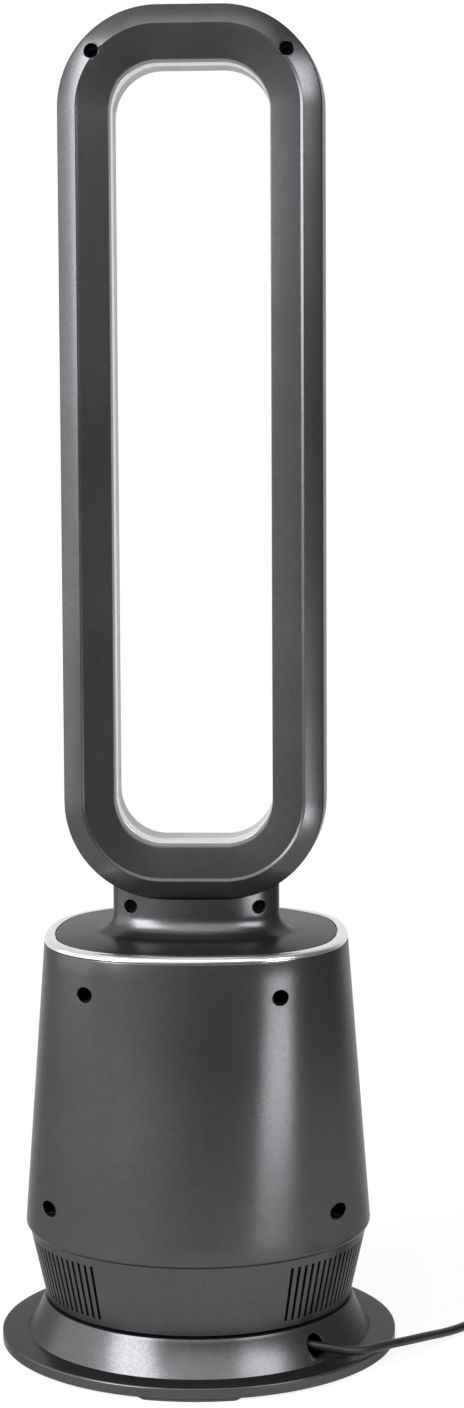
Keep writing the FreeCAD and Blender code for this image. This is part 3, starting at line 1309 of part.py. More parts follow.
# Boards
def power_board():
    """Board in the inlet's guides, and the parts on it."""
    low = "inlet_top + part_lift"
    face = "-power_board_behind + board_thick / 2"
    node(box("power_board_slab", "2 * power_board_half", "board_thick", "power_board_tall",
             ("-power_board_half", "-power_board_behind - board_thick / 2", low)), "power_board")
    middle = low + " + power_board_tall / 2"
    lifted = face + " + part_lift"
    high = middle + " + part_high"
    relay_low = middle + " - relay_wide"
    parts = [
        cylinder("capacitor", "capacitor_radius", "capacitor_tall", ("-part_side", lifted, high), ALONG_Y),
        cylinder("filter", "filter_radius", "filter_tall", ("part_side", lifted, high), ALONG_Y),
        box("relay_left", "relay_long", "relay_tall", "relay_wide",
            ("-part_side - relay_long / 2", lifted, relay_low)),
        box("relay_right", "relay_long", "relay_tall", "relay_wide",
            ("part_side - relay_long / 2", lifted, relay_low)),
        box("terminal_block", "terminal_long", "terminal_tall", "terminal_wide",
            ("-terminal_long / 2", lifted, high + " - terminal_wide / 2")),
    ]
    node(group("board_part_set", parts), "board_parts")


# Mains lead
def rounded_path(points):
    """Straight runs joined by the largest arcs that they leave room for, and the arcs' radii."""
    edges = []
    radii = []
    at = points[0]
    for before, corner, after in zip(points, points[1:], points[2:]):
        into = (corner - before).normalize()
        out = (after - corner).normalize()
        half_turn = into.getAngle(out) / 2
        back = ARC_SHARE * min((corner - before).Length, (after - corner).Length)
        radii.append(back / math.tan(half_turn))
        start = corner - into * back
        end = corner + out * back
        inward = (out - into).normalize()
        middle = corner + inward * (back * (1 - math.cos(half_turn)) / math.sin(half_turn))
        edges.append(Part.LineSegment(at, start).toShape())
        edges.append(Part.Arc(start, middle, end).toShape())
        at = end
    edges.append(Part.LineSegment(at, points[-1]).toShape())
    return edges, radii


def swept(edges, start, heading):
    """Round tube along a path that starts at a point."""
    ring = Part.Wire([Part.Circle(start, heading, size("cord_radius")).toShape()])
    path = Part.Wire(edges)
    solid = path.makePipeShell([ring], True, False)
    expected = math.pi * size("cord_radius") ** 2 * path.Length
    print(f"tube length {path.Length:.1f} mm, volume over section times length {solid.Volume / expected:.5f}")
    return solid


def coil_turn():
    """Whole angle that the coil goes round, in radians."""
    return math.radians(size("coil_start") - size("coil_end") + 360 * count("coil_turns"))


def coil_spot(angle):
    """Point and direction of the coil after an angle: spiral in, climb in the half turn, spiral out."""
    middle = coil_turn() / 2
    step = size("coil_step")
    away = abs(angle - middle)
    radius = size("coil_outer") - step * (middle - away) / (2 * math.pi)
    inwards = 0.0 if away < 1e-9 else math.copysign(step / (2 * math.pi), angle - middle)
    climb = min(max(angle - middle + math.pi / 2, 0.0), math.pi)
    height = size("coil_low") + step * (1 - math.cos(climb)) / 2
    rise = step * math.sin(climb) / 2
    at = math.radians(size("coil_start")) - angle
    spot = V(size("coil_x") + radius * math.cos(at), size("coil_y") + radius * math.sin(at), height)
    ahead = inwards * math.cos(at) + radius * math.sin(at)
    aside = inwards * math.sin(at) - radius * math.cos(at)
    return spot, V(ahead, aside, rise).normalize()


def tangent_arc(start, heading, end):
    """Arc from a point along a heading to another point."""
    chord = end - start
    side = (chord - heading * chord.dot(heading)).normalize()
    radius = chord.Length ** 2 / (2 * chord.dot(side))
    centre = start + side * radius
    middle = centre + ((start - centre) + (end - centre)).normalize() * radius
    return Part.Arc(start, middle, end).toShape()


def biarc(start, leave, end, arrive):
    """Two arcs from point and heading to point and heading."""
    span = end - start
    both = leave + arrive
    spread = 2 * (1 - leave.dot(arrive))
    along = span.dot(both)
    reach = (-along + math.sqrt(along ** 2 + spread * span.dot(span))) / spread
    meet = (start + end + (leave - arrive) * reach) * 0.5
    return [tangent_arc(start, leave, meet), tangent_arc(end, arrive * -1, meet)]


def coil_ends():
    """Where the coil's straight ends begin and finish, with their headings."""
    lead = 2 * size("cord_radius")
    first, leave = coil_spot(0.0)
    last, arrive = coil_spot(coil_turn())
    return first - leave * lead, leave, last + arrive * lead, arrive


def coil_gap():
    """Least gap between turns of the coil, measured on points."""
    total = coil_turn()
    steps = 72 * count("coil_turns")
    spots = [coil_spot(total * k / steps)[0] for k in range(steps + 1)]
    near = int(steps * math.pi / total)
    least = min((a - b).Length for k, a in enumerate(spots) for b in spots[k + near:])
    return least - 2 * size("cord_radius")


def mains_lead():
    """Lead from the clamp to the coil, the coil's turns, the lead to the plug, the tie and the plug."""
    start, leave, finish, arrive = coil_ends()
    points = [V(*spot) for spot in LEAD_ROUTE]
    points += [start - leave * LEAD_LAST_RUN, start]
    edges, radii = rounded_path(points)
    print("lead radii", [round(radius) for radius in radii])
    node(shaped("lead_tube", swept(edges, points[0], points[1] - points[0])), "power_cord")

    pieces = count("coil_turns") * 4 + 2
    stops = [coil_spot(coil_turn() * k / pieces) for k in range(pieces + 1)]
    edges = [Part.LineSegment(start, stops[0][0]).toShape()]
    for (spot, heading), (after, onward) in zip(stops, stops[1:]):
        edges += biarc(spot, heading, after, onward)
    edges.append(Part.LineSegment(stops[-1][0], finish).toShape())
    print(f"coil's least gap to itself {coil_gap():.2f} mm")
    node(shaped("coil_tube", swept(edges, start, leave)), "cord_coil")

    flat = V(arrive.x, arrive.y, 0).normalize()
    points = [finish + flat * along + UP * rise for along, rise in PLUG_LEAD]
    edges, radii = rounded_path(points)
    print("plug lead radii", [round(radius) for radius in radii])
    node(shaped("plug_tube", swept(edges, points[0], points[1] - points[0])), "plug_lead")
    plug(points[-1], flat)
    node(shaped("tie_band", coil_tie()), "cord_tie")


def coil_tie():
    """Flat band round both layers of the coil."""
    gap = size("tie_gap")
    band = size("tie_thick")
    wide = size("tie_wide")
    round_off = wide ** 2 / (8 * size("coil_step") * 3)
    middle = coil_turn() / 2
    inner = coil_spot(middle)[0]
    centre = V(size("coil_x"), size("coil_y"), 0)
    low_radius = V(inner.x - centre.x, inner.y - centre.y, 0).Length - size("cord_radius") - gap - round_off
    high_radius = size("coil_outer") + size("cord_radius") + gap
    low = size("coil_low") - size("cord_radius") - gap
    high = size("coil_low") + size("coil_step") + size("cord_radius") + gap
    outer = Part.makeBox(high_radius - low_radius + 2 * band, wide, high - low + 2 * band,
                         V(low_radius - band, -wide / 2, low - band))
    hole = Part.makeBox(high_radius - low_radius, wide, high - low, V(low_radius, -wide / 2, low))
    tie = outer.cut(hole)
    tie.rotate(V(), UP, size("tie_angle"))
    tie.translate(centre)
    return tie


def plug(at, heading):
    """Round two-pin plug with a boot, lying on the floor, pins ahead."""
    turn = FreeCAD.Rotation(UP, heading)
    body = lathe("plug_turned", [
        ("cord_radius / 2", "part_lift"),
        ("boot_tip", "part_lift"),
        ("boot_root", "boot_long"),
        ("plug_radius - plug_round", "boot_long"),
        ("plug_radius", "boot_long + plug_round"),
        ("plug_radius", "boot_long + plug_long - plug_round / 5"),
        ("plug_radius - plug_round / 5", "boot_long + plug_long"),
        ("cord_radius / 2", "boot_long + plug_long"),
    ])
    solid = body.Shape.copy()
    core = Part.makeCylinder(size("cord_radius"), size("boot_long") + size("plug_long") - size("part_lift"),
                             V(0, 0, size("part_lift")))
    solid = solid.fuse(core).removeSplitter()
    piece = shaped("plug_solid", solid)
    piece.Placement = FreeCAD.Placement(at, turn)
    node(piece, "plug_body")
    pins = []
    across = turn.multVec(V(0, 1, 0)) if abs(turn.multVec(V(0, 1, 0)).z) < 0.5 else turn.multVec(V(1, 0, 0))
    face = at + heading * (size("boot_long") + size("plug_long"))
    for side in (-1, 1):
        foot = face + across * (side * size("pin_spacing") / 2)
        pins.append(Part.makeCylinder(size("pin_radius"), size("pin_long"), foot, heading))
    node(shaped("pin_pair", Part.makeCompound(pins)), "plug_pins")


def lead_frame():
    """Start of the lead and its heading inside the foot."""
    start = V(*LEAD_ROUTE[0])
    return start, (V(*LEAD_ROUTE[1]) - start).normalize()


def clamp_block(low, high):
    """Block across the lead at the strain relief's thick end, between two heights."""
    start, heading = lead_frame()
    flat = V(heading.x, heading.y, 0).normalize()
    long = size("clamp_long")
    half = size("clamp_half")
    block = Part.makeBox(long, 2 * half, high - low, V(size("clamp_setback"), -half, low))
    block.rotate(V(), UP, math.degrees(math.atan2(flat.y, flat.x)))
    block.translate(V(start.x, start.y, 0))
    bore_start = start - heading * size("clamp_setback") * 2
    bore_radius = size("relief_radius") + size("part_lift")
    bore = Part.makeCylinder(bore_radius, size("relief_long"), bore_start, heading)
    across = V(-flat.y, flat.x, 0) * size("clamp_screw_side")
    middle = V(start.x, start.y, 0) + flat * (size("clamp_setback") + long / 2)
    places = [middle - across, middle + across]
    for place in places:
        hole = Part.makeCylinder(size("small_screw_radius") + size("hub_play"), high + low, place)
        block = block.cut(hole)
    return block.cut(bore), places


def cord_saddle_shape():
    """Block on the base plate that carries the lead."""
    level = LEAD_ROUTE[0][2]
    return clamp_block(size("plate_under") + size("plate_thick"), level - size("fit_gap"))[0]


def cord_anchor():
    """Strain relief round the lead, the clamp over it and the clamp's screws."""
    start, heading = lead_frame()
    head = size("relief_head_long")
    thick = Part.makeCylinder(size("relief_radius"), head, start, heading)
    taper = Part.makeCone(size("relief_radius"), size("relief_tip"), size("relief_long") - head,
                          start + heading * head, heading)
    bore = Part.makeCylinder(size("cord_radius") + size("relief_play"), size("relief_long"), start, heading)
    node(shaped("relief_sleeve", thick.fuse(taper).cut(bore)), "cord_strain_relief")
    level = LEAD_ROUTE[0][2]
    top = level + size("clamp_tall")
    block, places = clamp_block(level, top)
    node(shaped("clamp_bar", block), "cord_clamp")
    screws = []
    for place in places:
        shank = Part.makeCylinder(size("small_screw_radius"), size("clamp_screw_long"),
                                  V(place.x, place.y, top - size("clamp_screw_long")))
        cap_at = V(place.x, place.y, top)
        cap = Part.makeCylinder(size("small_screw_head"), size("small_screw_head_tall"), cap_at)
        screws.append(shank.fuse(cap))
    node(shaped("clamp_screw_pair", Part.makeCompound(screws)), "cord_clamp_screws")


def check_document():
    """Stop if any object failed or any piece is not a valid solid."""
    doc.recompute()
    for piece in doc.Objects:
        if "Invalid" in piece.State or "Error" in piece.State:
            raise RuntimeError(f"{piece.Name} failed: {piece.State}")
    for piece in nodes:
        if piece.Shape.isNull() or not piece.Shape.isValid() or not piece.Shape.Solids:
            raise RuntimeError(f"{piece.Label} has no valid solid")


def main():
    """Build every piece, check the document and write the pieces."""
    base_shell()
    base_floor()
    swivel_ring()
    swing_drive()
    tilt_switch()
    cord_anchor()
    lower_housing()
    body_covers()
    trim_ring()
    neck_halves()
    loop_shells()
    fan_case()
    fan_motor()
    heater()
    power_board()
    mains_lead()
    check_document()
    os.makedirs("parts", exist_ok=True)
    for piece in nodes:
        solids = len(piece.Shape.Solids)
        print(f"{piece.Label}: {solids} solids, {piece.Shape.Volume / 1000:.1f} cm3")
        piece.Shape.exportStep(f"parts/{piece.Label}.step")
    print(len(nodes), "pieces")


main()
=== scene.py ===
"""Bladeless tower fan heater: shells, fasteners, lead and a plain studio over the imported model.

Frame: metres, +Z up, the photographed rear side faces -Y. Sizes in the classes are millimetres.
"""
from __future__ import annotations

import logging
import math
from dataclasses import dataclass, field
from enum import Enum
from typing import Callable, Sequence

import bmesh
import bpy
from mathutils import Matrix, Vector

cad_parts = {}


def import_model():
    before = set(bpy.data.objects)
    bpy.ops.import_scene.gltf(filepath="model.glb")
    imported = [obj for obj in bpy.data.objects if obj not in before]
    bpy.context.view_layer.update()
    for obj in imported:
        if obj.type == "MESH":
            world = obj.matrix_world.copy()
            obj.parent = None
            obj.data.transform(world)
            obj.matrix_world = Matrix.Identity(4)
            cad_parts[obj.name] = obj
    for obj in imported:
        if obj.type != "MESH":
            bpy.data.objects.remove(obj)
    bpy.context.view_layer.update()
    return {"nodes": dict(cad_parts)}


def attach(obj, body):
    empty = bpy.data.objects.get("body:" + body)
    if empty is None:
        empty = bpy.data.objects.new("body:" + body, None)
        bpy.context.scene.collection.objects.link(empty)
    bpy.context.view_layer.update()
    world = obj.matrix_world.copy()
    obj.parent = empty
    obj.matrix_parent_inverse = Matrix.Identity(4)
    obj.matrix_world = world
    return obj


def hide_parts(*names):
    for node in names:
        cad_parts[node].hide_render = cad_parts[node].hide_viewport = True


log = logging.getLogger("fan_heater")
MM = 0.001
FULL_TURN = 2 * math.pi
QUARTER_TURN = math.pi / 2
# A spin about the heater's upright axis
UPRIGHT = {"cent": (0, 0, 0), "axis": (0, 0, 1)}
REARWARD = Vector((0, -1, 0))
# Points nearer than this become one, in metres: as drawn, once bored, in a ring of strips, swept
MERGE, BORED_MERGE, STRIP_MERGE, SWEPT_MERGE = 1e-6, 2e-6, 5e-6, 1e-5
# Edges and cuts finer than this are dropped, in metres
SLIVER = 1e-7
# Edges that turn more than this stay sharp
SHARP_DEG = 32.0
ROUND_SEGMENTS = 4
EASE_SEGMENTS = 2

Corner = tuple[float, ...]
Outline = list[tuple[float, float]]
Points = list[Vector]
Mesh = bmesh.types.BMesh
Piece = bpy.types.Object


# Nodes and finishes
METAL_FROM = 0.5
CLOUD_DETAIL, MOULDED_DETAIL, PLAIN_DETAIL = 3.0, 6.0, 2.0
# How much the fine pattern counts beside the clouds, and the span of both that goes to colour
FINE_SHARE = 0.55
TONE_SPAN = (0.35, 1.15)
# Sockets of the Mix node: its two colours and their result, its two numbers
COLOUR_A, COLOUR_B, COLOUR_OUT, NUMBER_A, NUMBER_B = 6, 7, 2, 2, 3


def srgb(code: str) -> tuple[float, float, float, float]:
    """Turn an sRGB hex value to a linear colour.

    Args:
        code: six hex digits, led by a hash.

    Returns:
        Linear red, green, blue and an alpha of one.
    """
    shares = [int(code[k:k + 2], 16) / 255 for k in (1, 3, 5)]
    linear = [c / 12.92 if c <= 0.04045 else ((c + 0.055) / 1.055) ** 2.4 for c in shares]
    return linear[0], linear[1], linear[2], 1.0


def add_node(tree: bpy.types.NodeTree, kind: str, settings: dict | None = None,
             links: dict | None = None) -> bpy.types.Node:
    """Add one node with its settings and links.

    Args:
        tree: the node tree that gets it.
        kind: the node's Blender type.
        settings: input names, input numbers or property names with their values.
        links: input names or numbers with the output sockets that feed them.

    Returns:
        The new node.
    """
    node = tree.nodes.new(kind)
    for key, value in (settings or {}).items():
        if isinstance(key, int) or key in node.inputs:
            node.inputs[key].default_value = value
        else:
            setattr(node, key, value)
    for key, socket in (links or {}).items():
        tree.links.new(socket, node.inputs[key])
    return node


class Grain(Enum):
    """How a surface was made, which sets its pattern."""

    SPRAYED = "metal flakes under a sprayed satin lacquer"
    MOULDED = "fine spark-eroded texture of a mould"
    DRAWN = "lines drawn along one axis"
    DUSTED = "soft clouds of dust on rubber"


@dataclass(frozen=True)
class Finish:
    """One finish: what it is made of and what that gives the eye."""

    name: str
    grain: Grain
    colour: str
    shade: str
    metallic: float
    roughness: float
    pattern_mm: float
    ior: float = 1.5
    spread: float = 0.06
    relief_mm: float = 0.02
    cloud_mm: float = 60.0
    stretch: tuple[float, float, float] = (1.0, 1.0, 1.0)
    edge_shine: float = 1.0

    def make(self) -> bpy.types.Material:
        """Build the finish as a node material.

        Returns:
            The material, with colour, roughness and relief from its own patterns.
        """
        material = bpy.data.materials.new(self.name)
        material.use_nodes = True
        tree = material.node_tree
        shader = tree.nodes["Principled BSDF"]
        edge = self.edge_shine
        shader.inputs["Metallic"].default_value = self.metallic
        shader.inputs["Specular Tint"].default_value = (edge, edge, edge, 1.0)
        if self.metallic < METAL_FROM:
            shader.inputs["IOR"].default_value = self.ior
        place = add_node(tree, "ShaderNodeTexCoord").outputs["Object"]
        laid = add_node(tree, "ShaderNodeMapping", {"Scale": self.stretch}, {"Vector": place})
        cloud = add_node(tree, "ShaderNodeTexNoise",
                         {"Scale": 1 / (self.cloud_mm * MM), "Detail": CLOUD_DETAIL},
                         {"Vector": place}).outputs["Fac"]
        fine = self.fine_pattern(tree, laid.outputs["Vector"])
        both = add_node(tree, "ShaderNodeMath", {"operation": "MULTIPLY_ADD", 1: FINE_SHARE},
                        {0: fine, 2: cloud})
        tone = add_node(tree, "ShaderNodeMapRange",
                        {"From Min": TONE_SPAN[0], "From Max": TONE_SPAN[1]},
                        {"Value": both.outputs[0]})
        colour = add_node(tree, "ShaderNodeMix",
                          {"data_type": "RGBA", COLOUR_A: srgb(self.shade),
                           COLOUR_B: srgb(self.colour)}, {0: tone.outputs[0]})
        tree.links.new(colour.outputs[COLOUR_OUT], shader.inputs["Base Color"])
        gloss = add_node(tree, "ShaderNodeMapRange",
                         {"To Min": self.roughness - self.spread,
                          "To Max": self.roughness + self.spread}, {"Value": cloud})
        tree.links.new(gloss.outputs[0], shader.inputs["Roughness"])
        relief = add_node(tree, "ShaderNodeBump",
                          {"Strength": 1.0, "Distance": self.relief_mm * MM}, {"Height": fine})
        tree.links.new(relief.outputs[0], shader.inputs["Normal"])
        return material

    def fine_pattern(self, tree: bpy.types.NodeTree,
                     laid: bpy.types.NodeSocket) -> bpy.types.NodeSocket:
        """Add the fine pattern of the finish's making.

        Args:
            tree: the material's node tree.
            laid: the coordinates, stretched as the finish asks.

        Returns:
            A value from nought to one.
        """
        scale = 1 / (self.pattern_mm * MM)
        if self.grain is Grain.SPRAYED:
            cells = add_node(tree, "ShaderNodeTexVoronoi", {"Scale": scale}, {"Vector": laid})
            return add_node(tree, "ShaderNodeSeparateColor", None,
                            {"Color": cells.outputs["Color"]}).outputs[0]
        detail = MOULDED_DETAIL if self.grain is Grain.MOULDED else PLAIN_DETAIL
        return add_node(tree, "ShaderNodeTexNoise", {"Scale": scale, "Detail": detail},
                        {"Vector": laid}).outputs["Fac"]


# Real flakes, drawing lines and mould texture are a few tenths of a millimetre or finer, which
# a render of the whole heater can't show. So the patterns are drawn about 1 to 4 mm wide.

# Moulded ABS sprayed with satin gunmetal: dark, with soft wide highlights and a faint flake
GUNMETAL = Finish("sprayed_gunmetal_abs", Grain.SPRAYED, "#525254", "#48484a", 0.9, 0.27,
                  spread=0.03, pattern_mm=1.1, relief_mm=0.003, cloud_mm=90.0, edge_shine=0.5)
# Moulded ABS sprayed satin silver: pale and even, duller than the gunmetal
SILVER = Finish("sprayed_silver_abs", Grain.SPRAYED, "#c9c9cb", "#bdbdbf", 0.6, 0.5,
                spread=0.03, pattern_mm=1.1, relief_mm=0.003, cloud_mm=90.0, edge_shine=0.2)
# The same lacquer polished on the air guide: brighter where it is seen at a flat angle
GUIDE_SILVER = Finish("polished_silver_abs", Grain.SPRAYED, "#c9c9cb", "#bdbdbf", 0.85, 0.26,
                      spread=0.03, pattern_mm=1.1, relief_mm=0.003, cloud_mm=90.0)
# Moulded ABS sprayed silver on the lip, coloured mid grey as painted shade of the air slot: darker
# than the silver beside it
LIP_SILVER_PAINTED_SHADE = Finish("silver_abs_painted_shade", Grain.SPRAYED, "#8f8f91", "#868688", 0.85, 0.34,
                  spread=0.03, pattern_mm=1.1, relief_mm=0.003, cloud_mm=90.0, edge_shine=0.4)
# Electroplated ABS with a satin face: nearly white in soft light
TRIM = Finish("satin_plated_trim", Grain.DRAWN, "#d9d9db", "#cdcdcf", 1.0, 0.22, spread=0.03,
              pattern_mm=1.5, relief_mm=0.002, stretch=(1.0, 1.0, 0.1))
# Moulded black polypropylene: dull, with a fine texture
BLACK = Finish("moulded_black_pp", Grain.MOULDED, "#1d1d1e", "#141415", 0.0, 0.55,
               pattern_mm=1.0, relief_mm=0.03)
# Gloss black acrylic over the display: mirror-like, faint cloud only
WINDOW = Finish("gloss_black_acrylic", Grain.MOULDED, "#0d0d0e", "#09090a", 0.0, 0.07, ior=1.49,
                spread=0.02, pattern_mm=4.0, relief_mm=0.001)
# Drawn and zinc-plated steel: bright with fine lines
STEEL = Finish("zinc_plated_steel", Grain.DRAWN, "#b4b5b8", "#8f9093", 1.0, 0.34,
               pattern_mm=0.8, relief_mm=0.01, stretch=(1.0, 1.0, 0.15))
# Steel screws with a black oxide coat: nearly black, with a dull shine on their edges
BLACK_STEEL = Finish("black_oxide_steel", Grain.DRAWN, "#1e1e20", "#151516", 0.8, 0.42,
                     pattern_mm=0.8, relief_mm=0.01, stretch=(1.0, 1.0, 0.15))
# Rolled aluminium strip of heater fins: pale and bright, with lines along the strip
ALUMINIUM = Finish("rolled_aluminium", Grain.DRAWN, "#c6c7c9", "#a9aaac", 1.0, 0.3,
                   pattern_mm=0.9, relief_mm=0.01, stretch=(0.1, 1.0, 1.0))
# Nickel-plated brass of the plug's pins: bright, with a warm tinge
PIN_METAL = Finish("nickel_plated_brass", Grain.DRAWN, "#cfcac0", "#b8b3a8", 1.0, 0.2,
                   pattern_mm=0.8, relief_mm=0.005, stretch=(0.2, 0.2, 1.0))
# Vulcanised rubber of pads, dampers and seals: black, dull, dusty
RUBBER = Finish("vulcanised_rubber", Grain.DUSTED, "#242424", "#161616", 0.0, 0.72, ior=1.52,
                pattern_mm=1.4, relief_mm=0.04)
# Extruded PVC jacket of the lead: black with a satin shine
JACKET = Finish("extruded_pvc_jacket", Grain.DRAWN, "#0b0b0c", "#080808", 0.0, 0.42, ior=1.45,
                pattern_mm=1.2, relief_mm=0.015)
# Solder resist on glass-fibre board: green with a half gloss
BOARD = Finish("solder_resist_board", Grain.MOULDED, "#2f6b41", "#235433", 0.0, 0.35,
               pattern_mm=2.2, relief_mm=0.03)
# Natural acetal of gears and slide ring: ivory, waxy
ACETAL = Finish("natural_acetal", Grain.MOULDED, "#dedbd0", "#d2cec1", 0.0, 0.42, ior=1.48,
                pattern_mm=1.4)
# Glass-filled heat-proof nylon of duct and heater frame: brown black with a fibre bloom
NYLON = Finish("glass_filled_nylon", Grain.MOULDED, "#34302c", "#26231f", 0.0, 0.58,
               pattern_mm=1.2, relief_mm=0.03)


# Mesh work
def line_of(mesh: Mesh, corners: Sequence[Corner], place: Callable[[float, float], Vector],
            closed: bool = True) -> list[bmesh.types.BMVert | bmesh.types.BMEdge]:
    """Draw a line of corners and round those that ask for it.

    Args:
        mesh: the mesh that gets the line.
        corners: across, along and, where a corner is rounded, how far back from it the round
            starts, in mm.
        place: turns across and along to a point in metres.
        closed: whether the last corner joins the first.

    Returns:
        The line's vertices and edges.
    """
    spots = [mesh.verts.new(place(corner[0], corner[1])) for corner in corners]
    pairs = list(zip(spots, spots[1:]))
    if closed:
        pairs.append((spots[-1], spots[0]))
    for pair in pairs:
        mesh.edges.new(pair)
    for spot, corner in zip(spots, corners):
        if len(corner) > 2:
            bmesh.ops.bevel(mesh, geom=[spot], offset=corner[2] * MM, offset_type="OFFSET",
                            segments=ROUND_SEGMENTS, profile=0.5, affect="VERTICES",
                            material=-1, clamp_overlap=True)
    return list(mesh.verts) + list(mesh.edges)


def lathe_spot(across: float, along: float) -> Vector:
    """Point of a turned profile: radius and height in mm."""
    return Vector((across * MM, 0, along * MM))


def swung(mesh: Mesh, angle: float) -> None:
    """Turn a whole mesh about Z by an angle in radians."""
    bmesh.ops.rotate(mesh, verts=mesh.verts, cent=(0, 0, 0),
                     matrix=Matrix.Rotation(angle, 3, "Z"))


def placed(mesh: Mesh, matrix: Matrix) -> Mesh:
    """Move a whole mesh and give it back."""
    bmesh.ops.transform(mesh, matrix=matrix, verts=mesh.verts)
    return mesh


def cleaned(mesh: Mesh) -> Mesh:
    """Merge doubled points and turn all faces outwards.

    Args:
        mesh: the mesh to clean.

    Returns:
        The same mesh.
    """
    bmesh.ops.remove_doubles(mesh, verts=mesh.verts, dist=MERGE)
    bmesh.ops.dissolve_degenerate(mesh, edges=mesh.edges, dist=SLIVER)
    bmesh.ops.recalc_face_normals(mesh, faces=mesh.faces)
    return mesh


def capped(mesh: Mesh) -> Mesh:
    """Fill the open ends of a mesh, clean it and give it back."""
    bmesh.ops.holes_fill(mesh, edges=[edge for edge in mesh.edges if edge.is_boundary], sides=0)
    return cleaned(mesh)


def turned(corners: Sequence[Corner], steps: int, closed: bool = True) -> Mesh:
    """Spin a profile of radius and height about Z.

    Args:
        corners: the profile's corners in mm, rounded where they have a third number.
        steps: flats round the full turn.
        closed: whether the profile is a closed line.

    Returns:
        The closed, outward-facing mesh.
    """
    mesh = bmesh.new()
    line = line_of(mesh, corners, lathe_spot, closed)
    bmesh.ops.spin(mesh, geom=line, angle=FULL_TURN, steps=steps, use_merge=True, **UPRIGHT)
    return cleaned(mesh)


def sector(corners: Sequence[Corner], start_deg: float, span_deg: float, steps: int) -> Mesh:
    """Spin a closed profile over part of a turn and close both ends.

    Args:
        corners: the profile's corners in mm.
        start_deg: angle of the first end from +X.
        span_deg: angle between the ends.
        steps: flats over the span.

    Returns:
        The closed mesh.
    """
    mesh = bmesh.new()
    line = line_of(mesh, corners, lathe_spot)
    swung(mesh, math.radians(start_deg))
    bmesh.ops.spin(mesh, geom=line, angle=math.radians(span_deg), steps=steps, **UPRIGHT)
    return capped(mesh)


def lofted(rings: Sequence[Points], closed: bool) -> Mesh:
    """Bridge rings of points one after the other.

    Args:
        rings: rings with one number of points.
        closed: whether the last ring joins the first; if not, both end rings are filled.

    Returns:
        The closed mesh.
    """
    mesh = bmesh.new()
    hoops = [[mesh.verts.new(point) for point in ring] for ring in rings]
    for first, second in zip(hoops, hoops[1:] + hoops[:1] * closed):
        for k, spot in enumerate(first):
            mesh.faces.new((first[k - 1], spot, second[k], second[k - 1]))
    return capped(mesh)


def added(base: Mesh, *others: Mesh) -> Mesh:
    """Put other meshes into the first and free them.

    Args:
        base: the mesh that grows.
        others: the meshes that go into it.

    Returns:
        The first mesh.
    """
    for other in others:
        block = bpy.data.meshes.new("carried")
        other.to_mesh(block)
        other.free()
        base.from_mesh(block)
        bpy.data.meshes.remove(block)
    return base


def halved(mesh: Mesh, front: bool, gap_mm: float) -> Mesh:
    """Keep the front or the rear half of a closed mesh and close the cut.

    Args:
        mesh: the whole shell, which is used up.
        front: keep what lies towards +Y.
        gap_mm: distance of the cut from the middle plane.

    Returns:
        The half.
    """
    side = 1 if front else -1
    whole = list(mesh.verts) + list(mesh.edges) + list(mesh.faces)
    bmesh.ops.bisect_plane(mesh, geom=whole, dist=SLIVER, plane_co=(0, side * gap_mm * MM, 0),
                           plane_no=(0, -side, 0), clear_outer=True)
    return capped(mesh)


def shaded(mesh: Mesh, sharp_deg: float) -> None:
    """Make all faces smooth and keep sharp corners.

    Args:
        mesh: the mesh to shade.
        sharp_deg: edges that turn more than this stay sharp.
    """
    limit = math.radians(sharp_deg)
    for face in mesh.faces:
        face.smooth = True
    for edge in mesh.edges:
        edge.smooth = len(edge.link_faces) == 2 and edge.calc_face_angle(0.0) < limit


def made_object(mesh: Mesh, name: str, sharp_deg: float = SHARP_DEG) -> Piece:
    """Write a mesh to an object with smooth faces and sharp corners.

    Args:
        mesh: the finished mesh, which is freed.
        name: the piece's name.
        sharp_deg: edges that turn more than this stay sharp.

    Returns:
        The object, linked to the scene.
    """
    shaded(mesh, sharp_deg)
    block = bpy.data.meshes.new(name)
    mesh.to_mesh(block)
    mesh.free()
    piece = bpy.data.objects.new(name, block)
    bpy.context.scene.collection.objects.link(piece)
    return piece


def bored(piece: Piece, cutter: Mesh, keep_common: bool = False) -> Piece:
    """Cut a piece with a mesh, or keep what both share.

    Args:
        piece: the piece that is cut.
        cutter: closed mesh of all cuts, which is used up.
        keep_common: keep the common part instead of the rest.

    Returns:
        The same object with its new mesh.
    """
    tool = made_object(cutter, piece.name + "_cutter")
    change = piece.modifiers.new("bore", "BOOLEAN")
    change.object = tool
    change.solver = "EXACT"
    change.operation = "INTERSECT" if keep_common else "DIFFERENCE"
    bpy.context.view_layer.update()
    result = piece.evaluated_get(bpy.context.evaluated_depsgraph_get())
    shape = bpy.data.meshes.new_from_object(result)
    old = piece.data
    piece.modifiers.clear()
    mesh = bmesh.new()
    mesh.from_mesh(shape)
    bmesh.ops.remove_doubles(mesh, verts=mesh.verts, dist=BORED_MERGE)
    shaded(mesh, SHARP_DEG)
    mesh.to_mesh(shape)
    mesh.free()
    shape.name = piece.name
    piece.data = shape
    bpy.data.meshes.remove(old)
    bpy.data.objects.remove(tool)
    return piece


